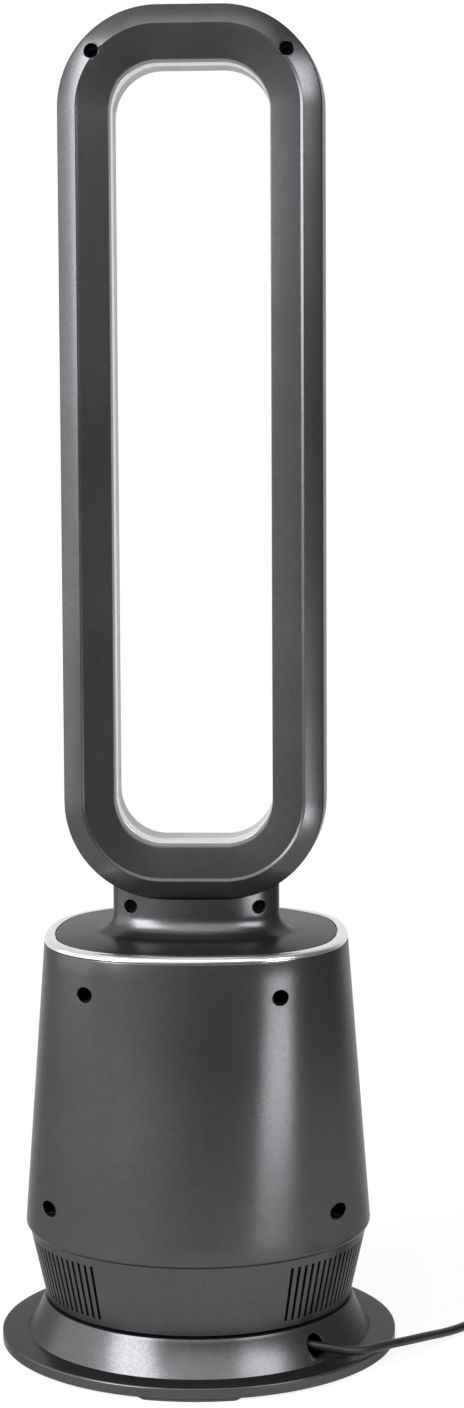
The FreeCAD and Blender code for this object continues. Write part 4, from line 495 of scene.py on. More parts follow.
def eased(mesh: Mesh, spot: Vector, way: Vector, radius: float, offset: float) -> None:
    """Ease the outer edge of a bored hole, so that it catches the light.

    The edge lies at the hole's radius, between the bore's wall and a face that looks outwards.

    Args:
        mesh: the bored mesh.
        spot: a point of the hole's axis, in mm.
        way: the axis, out of the piece.
        radius: the hole's radius in mm.
        offset: width of the eased edge in mm.
    """
    # In mm from the hole's radius, then shares of a face's normal along the axis
    near, wall_most, face_least = 0.1, 0.3, 0.35
    rim = []
    for edge in mesh.edges:
        away = [(vert.co / MM - spot).cross(way).length - radius for vert in edge.verts]
        facing = sorted(face.normal.dot(way) for face in edge.link_faces)
        at_hole = max(map(abs, away)) < near and len(facing) == 2
        if at_hole and abs(facing[0]) < wall_most and facing[1] > face_least:
            rim.append(edge)
    bmesh.ops.bevel(mesh, geom=rim, offset=offset * MM, offset_type="OFFSET", affect="EDGES",
                    segments=EASE_SEGMENTS, profile=0.5, material=-1, clamp_overlap=False)


@dataclass(frozen=True)
class ScrewRecess:
    """Recess that is bored from behind, with the tube that seats a screw at its bottom."""

    x: float
    z: float
    radius: float
    bore: tuple[float, float]  # from and to, in Y
    tube_radius: float
    tube_start: float
    seat: float
    seat_thick: float = 2.5
    screw_hole: float = 2.1
    ease: float = 0.35
    steps: int = 40

    def bar(self) -> Mesh:
        """Round bar along Y that bores the recess.

        Returns:
            The closed bar.
        """
        start, end = self.bore
        mesh = bmesh.new()
        middle = Matrix.Translation(Vector((self.x, (start + end) / 2, self.z)) * MM)
        bmesh.ops.create_cone(mesh, cap_ends=True, segments=self.steps, radius1=self.radius * MM,
                              radius2=self.radius * MM, depth=(end - start) * MM,
                              matrix=middle @ Matrix.Rotation(QUARTER_TURN, 4, "X"))
        return mesh

    def tube(self) -> Mesh:
        """Screw tube along Y with a seat that has a hole.

        Returns:
            The closed tube.
        """
        behind = self.seat + self.seat_thick
        mesh = turned([
            (self.radius, self.tube_start), (self.tube_radius, self.tube_start),
            (self.tube_radius, behind), (self.screw_hole, behind), (self.screw_hole, self.seat),
            (self.radius, self.seat),
        ], steps=self.steps)
        place = Matrix.Translation(Vector((self.x, 0, self.z)) * MM)
        return placed(mesh, place @ Matrix.Rotation(-QUARTER_TURN, 4, "X"))


def recessed(piece: Piece, recesses: Sequence[ScrewRecess]) -> Piece:
    """Bore a piece's screw recesses, ease their edges and set their tubes.

    Args:
        piece: the piece that is bored.
        recesses: its recesses.

    Returns:
        The same piece.
    """
    bored(piece, added(bmesh.new(), *(recess.bar() for recess in recesses)))
    mesh = bmesh.new()
    mesh.from_mesh(piece.data)
    for recess in recesses:
        eased(mesh, Vector((recess.x, 0, recess.z)), REARWARD, recess.radius, recess.ease)
        added(mesh, recess.tube())
    mesh.to_mesh(piece.data)
    mesh.free()
    return piece


class Workshop:
    """Makes each finish once and dresses pieces with it."""

    def __init__(self) -> None:
        """Start with no finish made."""
        self.made: dict[str, bpy.types.Material] = {}

    def material(self, finish: Finish) -> bpy.types.Material:
        """Give the material of a finish, made on first use.

        Args:
            finish: the finish.

        Returns:
            Its one material.
        """
        if finish.name not in self.made:
            self.made[finish.name] = finish.make()
        return self.made[finish.name]

    def dress(self, piece: Piece, finish: Finish, body: str, slot: str, *nodes: str) -> Piece:
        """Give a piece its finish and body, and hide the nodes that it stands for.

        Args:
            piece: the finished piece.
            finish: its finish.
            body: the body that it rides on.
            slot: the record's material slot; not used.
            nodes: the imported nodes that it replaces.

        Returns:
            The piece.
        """
        piece.data.materials.clear()
        piece.data.materials.append(self.material(finish))
        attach(piece, body)
        if nodes:
            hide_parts(*nodes)
        log.info("%s rides on %s", piece.name, body)
        return piece


# Outlines
def oblong(half_u: float, half_v: float, radius: float, arc_steps: int) -> Outline:
    """Points of a rounded rectangle, anticlockwise from the middle of the +u side.

    Args:
        half_u: half its width.
        half_v: half its height.
        radius: its corner radius.
        arc_steps: steps in one corner.

    Returns:
        Points with the corners' arcs and the sides' middles.
    """
    points = []
    for quarter, (u, v) in enumerate(((1, 1), (-1, 1), (-1, -1), (1, -1))):
        points.append((half_u * u, 0.0) if quarter % 2 == 0 else (0.0, half_v * v))
        for step in range(arc_steps + 1):
            angle = QUARTER_TURN * (quarter + step / arc_steps)
            points.append(((half_u - radius) * u + radius * math.cos(angle),
                           (half_v - radius) * v + radius * math.sin(angle)))
    return points


def bowed(half_u: float, half_v: float, power: float, steps: int) -> Outline:
    """Points of an oval a little fuller than an ellipse, anticlockwise from the +u side's middle.

    Args:
        half_u: half its width.
        half_v: half its height.
        power: two for an ellipse, more for a squarer oval.
        steps: number of points.

    Returns:
        The points.
    """
    points = []
    for step in range(steps):
        angle = FULL_TURN * step / steps
        across, up = math.cos(angle), math.sin(angle)
        points.append((half_u * math.copysign(abs(across) ** (2 / power), across),
                       half_v * math.copysign(abs(up) ** (2 / power), up)))
    return points


@dataclass(frozen=True)
class SquareRound:
    """Outline of the body's top: a square with bowed sides and round corners."""

    half: float = 106.8
    side_bend: float = 195.0
    corner_bend: float = 80.0

    def reach(self, angle: float, inset: float = 0.0) -> float:
        """Distance from the middle to the outline.

        Args:
            angle: direction in radians.
            inset: how far the outline is moved inwards, in mm.

        Returns:
            The distance in mm.
        """
        shift = self.half - self.side_bend
        lean = self.side_bend - self.corner_bend
        middle = (shift + math.sqrt(2 * lean ** 2 - shift ** 2)) / 2
        split = math.atan2(self.side_bend * middle / lean,
                           shift + self.side_bend * (middle - shift) / lean)
        folded = abs((angle + QUARTER_TURN / 2) % QUARTER_TURN - QUARTER_TURN / 2)
        if folded <= split:
            bend = self.side_bend - inset
            aside = shift * math.sin(folded)
            return shift * math.cos(folded) + math.sqrt(bend ** 2 - aside ** 2)
        along = middle * (math.cos(folded) + math.sin(folded))
        bend = self.corner_bend - inset
        return along + math.sqrt(bend ** 2 - 2 * middle ** 2 + along ** 2)


@dataclass
class Foot:
    """Round foot with its rim, hollow cone, lobes and the lead's hole, and the pads under it."""

    radius: float = 140.0
    wall: float = 3.0
    rim_under: float = 1.8
    rim_top: float = 9.4
    rim_rounds: tuple[float, float] = (0.5, 1.3)  # lower and upper edge
    cone_foot: float = 122.0
    cone_top: float = 109.5
    cone_round: float = 0.6
    cone_walls: float = 1.2  # wall thicknesses across the cone's top
    cone_steps: int = 10
    top: float = 32.8
    hollow: float = 105.0
    hub_hole: float = 28.3
    groove: tuple[float, float, float] = (83.0, 95.0, 31.6)  # inner and outer radius, floor
    thirds: tuple[float, float, float] = (-90.0, 30.0, 150.0)  # directions of lobes and pads
    lobe_under: float = 0.2
    lobe_span: float = 28.4
    lobe_slant: float = 1.6
    lobe_inset: float = 0.02
    lobe_round: float = 0.5
    lobe_steps: int = 24
    hole_radius: float = 7.7
    hole_angle: float = 46.8
    hole_height: float = 19.1
    hole_middle: float = 115.0
    hole_long: float = 50.0
    hole_ease: float = 0.6
    hole_steps: int = 48
    pad_outer: float = 134.0
    pad_wide: float = 14.0
    pad_tall: float = 3.0
    pad_span: float = 24.0
    pad_round: float = 0.6
    pad_steps: int = 16
    sole_grooves: tuple[float, float] = (3.5, 8.5)
    sole_groove: tuple[float, float] = (2.0, 0.8)  # width and depth
    steps: int = 288

    def cone_line(self) -> list[Corner]:
        """Points of the cone's hollow sweep from its foot to its top.

        Returns:
            Radius and height of each point, without the two ends.
        """
        low = Vector((self.cone_foot, self.rim_top))
        high = Vector((self.cone_top, self.top))
        chord = high - low
        out = Vector((chord.y, -chord.x)).normalized()
        centre = (low + high) / 2 + out * math.sqrt(self.hollow ** 2 - (chord.length / 2) ** 2)
        first = math.atan2(low.y - centre.y, low.x - centre.x) % FULL_TURN
        last = math.atan2(high.y - centre.y, high.x - centre.x) % FULL_TURN
        steps = self.cone_steps
        angles = [first + (last - first) * k / steps for k in range(1, steps)]
        return [(centre.x + self.hollow * math.cos(angle), centre.y + self.hollow * math.sin(angle))
                for angle in angles]

    def shell(self) -> Piece:
        """Turn the foot, bore the lead's hole and add the lobes.

        Returns:
            The foot's shell.
        """
        inner, outer, sunk = self.groove
        under = self.top - self.wall
        inside = self.radius - self.wall
        rim_inside = self.rim_top - self.wall
        lower, upper = self.rim_rounds
        mesh = turned([
            (inside, self.rim_under), (self.radius, self.rim_under, lower),
            (self.radius, self.rim_top, upper), (self.cone_foot, self.rim_top),
            *self.cone_line(), (self.cone_top, self.top, self.cone_round),
            (outer, self.top), (outer, sunk), (inner, sunk), (inner, self.top),
            (self.hub_hole, self.top), (self.hub_hole, under),
            (self.cone_top - self.cone_walls * self.wall, under),
            (self.cone_foot - self.wall, rim_inside), (inside, rim_inside),
        ], steps=self.steps)
        piece = made_object(mesh, "foot_shell")
        angle = math.radians(self.hole_angle - 90)
        middle = Matrix.Translation(Vector((self.hole_middle, 0, self.hole_height)) * MM)
        way = Matrix.Rotation(angle, 4, "Z") @ middle @ Matrix.Rotation(QUARTER_TURN, 4, "Y")
        cutter = bmesh.new()
        bmesh.ops.create_cone(cutter, cap_ends=True, segments=self.hole_steps,
                              radius1=self.hole_radius * MM, radius2=self.hole_radius * MM,
                              depth=self.hole_long * MM, matrix=way)
        bored(piece, cutter)
        mesh = bmesh.new()
        mesh.from_mesh(piece.data)
        eased(mesh, Vector((0, 0, self.hole_height)),
              Vector((math.cos(angle), math.sin(angle), 0)), self.hole_radius, self.hole_ease)
        added(mesh, *(self.lobe(middle_deg) for middle_deg in self.thirds))
        mesh.to_mesh(piece.data)
        mesh.free()
        return piece

    def lobe(self, middle_deg: float) -> Mesh:
        """Shape one foot lobe under the rim, with slanted ends.

        Args:
            middle_deg: direction of its middle from +X.

        Returns:
            The closed lobe.
        """
        inside = self.radius - self.wall
        outside = self.radius - self.lobe_inset
        line = [(inside, self.lobe_under), (outside, self.lobe_under, self.lobe_round),
                (outside, self.rim_under), (inside, self.rim_under)]
        mesh = sector(line, -self.lobe_span / 2, self.lobe_span, self.lobe_steps)
        tall = self.rim_under - self.lobe_under
        for vert in mesh.verts:
            share = (self.rim_under - vert.co.z / MM) / tall
            around = math.degrees(math.atan2(vert.co.y, vert.co.x))
            angle = around * -2 * self.lobe_slant * share / self.lobe_span
            vert.co.rotate(Matrix.Rotation(math.radians(angle), 3, "Z"))
        return placed(mesh, Matrix.Rotation(math.radians(middle_deg), 4, "Z"))

    def pads(self) -> Piece:
        """Shape the rubber pads with two grooves in their soles.

        Returns:
            All pads as one piece.
        """
        inner, outer = self.pad_outer - self.pad_wide, self.pad_outer
        wide, deep = self.sole_groove
        sole = []
        for start in (inner + along for along in self.sole_grooves):
            sole += [(start, 0.0), (start, deep), (start + wide, deep), (start + wide, 0.0)]
        line = [(inner, self.pad_tall), (inner, 0.0, self.pad_round), *sole,
                (outer, 0.0, self.pad_round), (outer, self.pad_tall)]
        mesh = added(bmesh.new(), *(
            sector(line, middle_deg - self.pad_span / 2, self.pad_span, self.pad_steps)
            for middle_deg in self.thirds))
        return made_object(mesh, "rubber_pads")

    def build(self, shop: Workshop) -> None:
        """Make and dress the foot's pieces."""
        shop.dress(self.shell(), GUNMETAL, "base", "gunmetal_plastic", "base_shell")
        shop.dress(self.pads(), RUBBER, "base", "rubber", "rubber_feet")


@dataclass
class IntakeRing:
    """Tapered ring with upright intake slots, a blank rear panel and the covers' spigot."""

    foot_radius: float = 108.5
    top_radius: float = 119.8
    low: float = 35.0
    top: float = 85.0
    floor: float = 3.0
    wall: float = 3.1
    spigot: tuple[float, float, float] = (114.7, 117.5, 93.0)  # inner and outer radius, top
    hub: tuple[float, float, float] = (22.0, 28.2, 29.5)  # inner and outer radius, foot
    slot_low: float = 39.8
    slot_high: float = 79.0
    slot_wide: float = 2.4
    slot_count: int = 100
    blank: float = 70.8
    blank_steps: int = 36
    walls_from: float = 90.0  # radius that parts the walls from the hub
    sharp_deg: float = 28.0

    def outer(self, height: float) -> float:
        """Outer radius at a height."""
        share = (height - self.low) / (self.top - self.low)
        return self.foot_radius + (self.top_radius - self.foot_radius) * share

    def profile(self) -> list[Corner]:
        """Profile of the ring, with corners at the slots' ends in both walls.

        Returns:
            Corners of radius and height.
        """
        inner_foot = self.foot_radius - self.wall
        floor_top = self.low + self.floor
        bend = self.slot_high + (self.top - self.slot_high) / 2
        span = bend - floor_top
        bore, spigot_outer, spigot_top = self.spigot
        hub_inner, hub_outer, hub_low = self.hub

        def inner(height: float) -> float:
            """Inner radius at a height."""
            return inner_foot + (bore - inner_foot) * (height - floor_top) / span

        return [
            (hub_inner, hub_low), (hub_outer, hub_low), (hub_outer, self.low),
            (self.foot_radius, self.low), (self.outer(self.slot_low), self.slot_low),
            (self.outer(self.slot_high), self.slot_high), (self.top_radius, self.top),
            (spigot_outer, self.top), (spigot_outer, spigot_top), (bore, spigot_top),
            (bore, bend), (inner(self.slot_high), self.slot_high),
            (inner(self.slot_low), self.slot_low), (inner_foot, floor_top),
            (hub_inner, floor_top),
        ]

    def shell(self) -> Piece:
        """Spin one slotted strip, open its slot, copy it round and close the ring with the panel.

        Returns:
            The ring.
        """
        copies = self.slot_count - 1
        pitch = math.radians((360 - self.blank) / copies)
        slot = self.slot_wide / self.outer((self.slot_low + self.slot_high) / 2)
        start = math.radians(self.blank / 2 - 90) - pitch / 2
        spare = (pitch - slot) / 2
        mesh = bmesh.new()
        line = line_of(mesh, self.profile(), lathe_spot)
        swung(mesh, start)
        for span in (spare, slot, spare):
            line = bmesh.ops.spin(mesh, geom=line, angle=span, steps=1, **UPRIGHT)["geom_last"]
        self.open_slot(mesh, start + pitch / 2, slot)
        strip = list(mesh.verts) + list(mesh.edges) + list(mesh.faces)
        bmesh.ops.spin(mesh, geom=strip, angle=pitch * copies, steps=copies,
                       use_duplicate=True, **UPRIGHT)
        panel = bmesh.new()
        line = line_of(panel, self.profile(), lathe_spot)
        around = pitch * self.slot_count
        swung(panel, start + around)
        bmesh.ops.spin(panel, geom=line, angle=FULL_TURN - around, steps=self.blank_steps,
                       **UPRIGHT)
        added(mesh, panel)
        bmesh.ops.remove_doubles(mesh, verts=mesh.verts, dist=STRIP_MERGE)
        return made_object(cleaned(mesh), "intake_ring", self.sharp_deg)

    def open_slot(self, mesh: Mesh, angle: float, slot: float) -> None:
        """Remove both walls' faces at a slot and join their edges.

        Args:
            mesh: one strip of the ring.
            angle: the slot's direction.
            slot: its angle across.
        """
        doors = []
        for face in mesh.faces:
            spot = face.calc_center_median()
            aside = abs(math.atan2(spot.y, spot.x) - math.remainder(angle, FULL_TURN))
            in_wall = spot.xy.length > self.walls_from * MM
            if aside < slot / 3 and in_wall and self.slot_low < spot.z / MM < self.slot_high:
                doors.append(face)
        edges = [edge for face in doors for edge in face.edges]
        bmesh.ops.delete(mesh, geom=doors, context="FACES_ONLY")
        bmesh.ops.bridge_loops(mesh, edges=edges)

    def build(self, shop: Workshop) -> None:
        """Make and dress the ring."""
        shop.dress(self.shell(), GUNMETAL, "tower", "gunmetal_plastic", "lower_housing")


@dataclass
class Body:
    """Tapered body: rear and front covers, control window, trim ring."""

    foot_radius: float = 120.6
    foot_round: float = 0.4
    low_radius: float = 122.3
    low_round: float = 1.2
    low: float = 85.0
    bevel: float = 2.6
    top: float = 289.9
    top_round: float = 1.1
    wall: float = 2.8
    split_gap: float = 0.1  # from the middle plane to each cover's edge
    outline: SquareRound = field(default_factory=SquareRound)
    levels: int = 16
    steps: int = 256
    recesses: tuple[tuple[float, float], ...] = (
        (-71.9, 265.0), (61.0, 265.0), (-99.4, 111.0), (99.4, 111.0),
    )
    recess_radius: float = 5.3
    bore_from: float = -140.0
    bore_past: float = 20.0
    tube_radius: float = 6.4
    tube_in: float = 0.6  # wall thicknesses from the outer face to a tube's start
    tube_lean: float = 1.6
    seat: float = -12.0
    window_half: float = 34.0
    window_low: float = 239.3
    window_tall: float = 27.0
    window_corner: float = 6.0
    window_arc_steps: int = 6
    window_gap: float = 0.2
    window_reach: tuple[float, float] = (80.0, 130.0)
    trim_inner: float = 99.3
    trim_top: float = 293.9
    trim_round: float = 0.6
    trim_joint: float = 0.4  # height of the shadow line under the ring
    trim_foot: tuple[float, float] = (3.1, 0.9)  # inner and outer edge of the ring's foot
    crown_share: float = 0.6
    crown_steps: int = 8
    ledge_deep: float = 3.2
    ledge_wide: float = 6.5

    @property
    def base(self) -> float:
        """Height of the bevel's upper edge."""
        return self.low + self.bevel

    def squared(self, mesh: Mesh, whole: bool = False) -> Mesh:
        """Move turned rings to the body's outline, from round at its foot to square at its top.

        Args:
            mesh: turned about Z with the outline's half width as radius.
            whole: use the top's outline at every height.

        Returns:
            The same mesh.
        """
        rise = self.top - self.base
        for vert in mesh.verts:
            height = vert.co.z / MM
            share = 1.0 if whole else min(max((height - self.base) / rise, 0.0), 1.0)
            radius = vert.co.xy.length / MM
            around = math.atan2(vert.co.y, vert.co.x)
            inset = (1 - share) * self.low_radius + share * self.outline.half - radius
            squared = self.outline.reach(around, inset)
            reach = (1 - share) * (self.low_radius - inset) + share * squared
            vert.co.xy *= reach / radius
        return mesh

    def side(self, height: float, inset: float = 0.0) -> float:
        """Half width of the body at a height.

        Args:
            height: the height in mm.
            inset: how far inside the outer face, in mm.

        Returns:
            The half width in mm.
        """
        share = (height - self.base) / (self.top - self.base)
        return self.low_radius + (self.outline.half - self.low_radius) * share - inset

    def hull(self) -> Mesh:
        """Turn both covers' wall in one and square it.

        Returns:
            The closed wall.
        """
        rise = self.top - self.base
        heights = [self.base + rise * k / self.levels for k in range(1, self.levels)]
        outer = [(self.side(z), z) for z in heights]
        inner = [(self.side(z, self.wall), z) for z in reversed(heights)]
        return self.squared(turned([
            (self.foot_radius - self.wall, self.low),
            (self.foot_radius, self.low, self.foot_round),
            (self.low_radius, self.base, self.low_round), *outer,
            (self.side(self.top), self.top, self.top_round),
            (self.side(self.top, self.wall), self.top), *inner,
            (self.low_radius - self.wall, self.base),
        ], steps=self.steps))

    def rear_face(self, x: float, z: float) -> float:
        """Place of the rear cover's outer face in Y, found by halving the span.

        Args:
            x: place across, in mm.
            z: height in mm.

        Returns:
            The place in mm.
        """
        halvings = 40
        share = (z - self.base) / (self.top - self.base)
        low, high = -self.low_radius, 0.0
        for _ in range(halvings):
            middle = (low + high) / 2
            angle = math.atan2(middle, x)
            reach = (1 - share) * self.low_radius + share * self.outline.reach(angle)
            low, high = (low, middle) if math.hypot(x, middle) < reach else (middle, high)
        return low

    def recess(self, x: float, z: float) -> ScrewRecess:
        """Recess at a point of the rear cover, its tube further in where the wall leans away.

        Args:
            x: place across, in mm.
            z: height in mm.

        Returns:
            The recess.
        """
        face = self.rear_face(x, z)
        lean = self.tube_radius * abs(x) / self.low_radius * self.tube_lean
        return ScrewRecess(x, z, self.recess_radius, (self.bore_from, face + self.bore_past),
                           self.tube_radius, face + self.tube_in * self.wall + lean, self.seat)

    def rear(self) -> Piece:
        """Cut the rear half, bore its recesses and set the screw tubes behind them.

        Returns:
            The rear cover.
        """
        piece = made_object(halved(self.hull(), False, self.split_gap), "rear_cover_shell")
        return recessed(piece, [self.recess(x, z) for x, z in self.recesses])

    def window_block(self, gap: float) -> Mesh:
        """Rounded block through the front cover at the control window.

        Args:
            gap: how much larger it is on each side, in mm.

        Returns:
            The closed block.
        """
        half_tall = self.window_tall / 2
        middle = self.window_low + half_tall
        outline = oblong(self.window_half + gap, half_tall + gap, self.window_corner + gap,
                         self.window_arc_steps)
        rings = [[Vector((u, y, middle + v)) * MM for u, v in outline] for y in self.window_reach]
        return lofted(rings, closed=False)

    def front(self) -> tuple[Piece, Piece]:
        """Cut the front half, its window's opening, and the window itself.

        Returns:
            The front cover and the window.
        """
        cover = made_object(halved(self.hull(), True, self.split_gap), "front_cover_shell")
        window = made_object(halved(self.hull(), True, self.split_gap), "control_panel_window")
        bored(cover, self.window_block(self.window_gap))
        bored(window, self.window_block(0.0), keep_common=True)
        return cover, window

    def trim(self) -> Piece:
        """Turn the trim ring with its rounded crown and ledge, and square it.

        Returns:
            The trim ring.
        """
        half = self.outline.half
        joint = self.top + self.trim_joint
        tall = self.trim_top - self.top - self.trim_joint
        wide = self.crown_share * (half - self.trim_inner)
        crown = []
        for step in range(1, self.crown_steps + 1):
            angle = QUARTER_TURN * step / self.crown_steps
            crown.append((half - wide * (1 - math.cos(angle)), joint + tall * math.sin(angle)))
        foot_in, foot_out = (half - edge for edge in self.trim_foot)
        ledge, ledge_in = self.trim_top - self.ledge_deep, self.trim_inner - self.ledge_wide
        under = self.top - self.ledge_deep
        mesh = turned([
            (foot_in, self.top), (foot_out, self.top), (foot_out, joint), (half, joint),
            *crown, (self.trim_inner, self.trim_top, self.trim_round),
            (self.trim_inner, ledge), (ledge_in, ledge), (ledge_in, under), (foot_in, under),
        ], steps=self.steps)
        return made_object(self.squared(mesh, whole=True), "deck_trim_ring")

    def build(self, shop: Workshop) -> None:
        """Make and dress the body's pieces.

        Args:
            shop: gives each piece its finish.
        """
        shop.dress(self.rear(), GUNMETAL, "tower", "gunmetal_plastic", "rear_cover")
        cover, window = self.front()
        shop.dress(cover, GUNMETAL, "tower", "gunmetal_plastic", "front_cover")
        shop.dress(window, WINDOW, "tower", "window_plastic", "control_window")
        shop.dress(self.trim(), TRIM, "tower", "bright_trim", "trim_ring")


@dataclass
class AirLoop:
    """Tall rounded loop: dark rear shell, silver lip with painted shade, air slot, silver guide and
    front shell.
    """

    half: float = 89.9
    low: float = 320.4
    high: float = 931.4
    corner: float = 68.5
    corner_steps: int = 28
    draft: float = 2.2
    seam: float = 0.1  # from the middle plane to each shell's edge
    seam_round: float = 0.3
    edge_behind: float = 28.6
    edge_round: float = 1.0
    ridge_in: float = 13.7
    ridge_behind: float = 36.5
    step_wide: float = 2.0
    step_deep: float = 0.95
    step_round: float = 0.3
    opening_in: float = 35.1
    opening_behind: float = 33.0
    opening_round: float = 0.5
    end_extra: float = 2.1
    wall: float = 2.4
    ridge_inside: float = 0.6
    edge_walls: tuple[float, float] = (0.9, 0.5)  # wall thicknesses in from the outer edge
    front: float = 36.5
    front_round: float = 9.0
    front_inner_round: float = 2.0
    lip: tuple[float, float] = (-30.5, -14.0)
    lip_round: float = 0.8
    guide: tuple[float, float] = (-12.5, 5.4)
    guide_rounds: tuple[float, float] = (0.5, 0.3)
    guide_gap: float = 1.3
    gap_walls: float = 0.7  # depth of the groove beside the guide, in wall thicknesses
    gap_round: float = 0.3
    recesses: tuple[tuple[float, float], ...] = ((-66.0, 900.4), (66.0, 900.4))
    recess_radius: float = 5.0
    bore: tuple[float, float] = (-50.0, -20.0)
    tube_wall: float = 1.2
    tube_start: float = -31.0
    seat: float = -10.0
    sharp_deg: float = 24.0

    def swept(self, corners: Sequence[Corner]) -> Mesh:
        """Carry a profile round the loop's path: four quarter spins and four straight runs.

        The bands are a little wider at the loop's ends, so both are then drawn to the middle.

        Args:
            corners: growth outwards from the rear outer edge and place in Y, in mm.

        Returns:
            The closed ring.
        """
        across = self.half - self.corner
        low = self.low + self.corner
        high = self.high - self.corner
        mesh = bmesh.new()

        def place(grow: float, depth: float) -> Vector:
            """Point of the profile where the path starts."""
            return Vector((self.half + grow, depth, high)) * MM

        line = line_of(mesh, corners, place)
        runs = (
            ((across, high), (-2 * across, 0)),
            ((-across, high), (0, low - high)),
            ((-across, low), (2 * across, 0)),
            ((across, low), (0, high - low)),
        )
        for (x, z), (run_x, run_z) in runs:
            line = bmesh.ops.spin(mesh, geom=line, cent=Vector((x, 0, z)) * MM, axis=REARWARD,
                                  angle=QUARTER_TURN, steps=self.corner_steps)["geom_last"]
            edges = [part for part in line if isinstance(part, bmesh.types.BMEdge)]
            grown = bmesh.ops.extrude_edge_only(mesh, edges=edges)["geom"]
            spots = [part for part in grown if isinstance(part, bmesh.types.BMVert)]
            bmesh.ops.translate(mesh, verts=spots, vec=Vector((run_x, 0, run_z)) * MM)
            known = set(spots)
            line = spots + [part for part in grown if isinstance(part, bmesh.types.BMEdge)
                            and part.verts[0] in known and part.verts[1] in known]
        for vert in mesh.verts:
            from_middle = vert.co.z / MM - (low + high) / 2
            beyond = max(abs(from_middle) - (high - low) / 2, 0.0)
            aside = max(abs(vert.co.x) / MM - across, 0.0)
            inset = max(self.corner - math.hypot(beyond, aside), 0.0)
            drawn = self.end_extra * inset / self.opening_in * MM
            vert.co.z -= math.copysign(drawn, from_middle)
        bmesh.ops.remove_doubles(mesh, verts=mesh.verts, dist=SWEPT_MERGE)
        return cleaned(mesh)

    def rear_shell(self) -> Piece:
        """Sweep the rear shell, bore its recesses and set the screw tubes.

        Returns:
            The rear shell.
        """
        wall = self.wall
        step = self.step_wide / 2
        ridge, edge, opening = -self.ridge_behind, -self.edge_behind, -self.opening_behind
        edge_in, edge_deep = (share * wall for share in self.edge_walls)
        mesh = self.swept([
            (self.draft, -self.seam, self.seam_round), (0.0, edge, self.edge_round),
            (step - self.ridge_in, ridge, self.step_round),
            (-step - self.ridge_in, ridge + self.step_deep, self.step_round),
            (-self.opening_in, opening, self.opening_round), (-self.opening_in, opening + wall),
            (-self.ridge_in - self.ridge_inside, ridge + wall), (-edge_in, edge + edge_deep),
            (self.draft - wall, -self.seam),
        ])
        piece = made_object(mesh, "loop_rear_half", self.sharp_deg)
        return recessed(piece, [
            ScrewRecess(x, z, self.recess_radius, self.bore, self.recess_radius + self.tube_wall,
                        self.tube_start, self.seat) for x, z in self.recesses])

    def lip_ring(self) -> Piece:
        """Sweep the lip behind the air slot.

        Returns:
            The lip.
        """
        start, end = self.lip
        inner = -self.opening_in
        return made_object(self.swept([
            (inner, start), (inner, end, self.lip_round), (inner + self.wall, end),
            (inner + self.wall, start),
        ]), "outlet_lip_ring")

    def guide_ring(self) -> Piece:
        """Sweep the polished air guide in front of the air slot.

        Returns:
            The guide.
        """
        start, end = self.guide
        start_round, end_round = self.guide_rounds
        inner = -self.opening_in
        return made_object(self.swept([
            (inner, start, start_round), (inner, end, end_round), (inner + self.wall, end),
            (inner + self.wall, start),
        ]), "air_guide_ring")

    def front_shell(self) -> Piece:
        """Sweep the front shell with its rounded face and the groove beside the air guide.

        Returns:
            The front shell.
        """
        wall = self.wall
        inner = -self.opening_in
        turn = self.front_round
        back = self.guide[1]
        gap_in, gap_end = inner + self.gap_walls * wall, back + self.guide_gap
        return made_object(self.swept([
            (gap_in, back), (gap_in, gap_end), (inner, gap_end, self.gap_round),
            (inner, self.front, self.front_inner_round), (self.draft, self.front, turn),
            (self.draft, self.seam, self.seam_round), (self.draft - wall, self.seam),
            (self.draft - wall, self.front - turn), (self.draft - turn, self.front - wall),
            (inner + wall, self.front - wall), (inner + wall, back),
        ]), "loop_front_half", self.sharp_deg)

    def underside(self, x: float, y: float) -> float:
        """Height of the loop's outer face over a point of the neck.

        Args:
            x: place across, in mm.
            y: place in depth, in mm.

        Returns:
            The height in mm.
        """
        grow = self.draft * (1 - min(-y / self.edge_behind, 1.0)) if y < 0 else self.draft
        reach = self.corner + grow
        beside = max(abs(x) - (self.half - self.corner), 0.0)
        return self.low + self.corner - math.sqrt(reach ** 2 - beside ** 2)

    def build(self, shop: Workshop) -> None:
        """Make and dress the loop's pieces.

        Args:
            shop: gives each piece its finish.
        """
        shop.dress(self.rear_shell(), GUNMETAL, "tower", "gunmetal_plastic", "loop_rear_shell")
        # The lip is silver plastic with painted shade: its mid-grey colour stands in for the air
        # slot's shade
        shop.dress(self.lip_ring(), LIP_SILVER_PAINTED_SHADE, "tower", "silver_plastic", "outlet_lip")
        shop.dress(self.guide_ring(), GUIDE_SILVER, "tower", "silver_plastic")
        shop.dress(self.front_shell(), SILVER, "tower", "silver_plastic", "loop_front_shell")


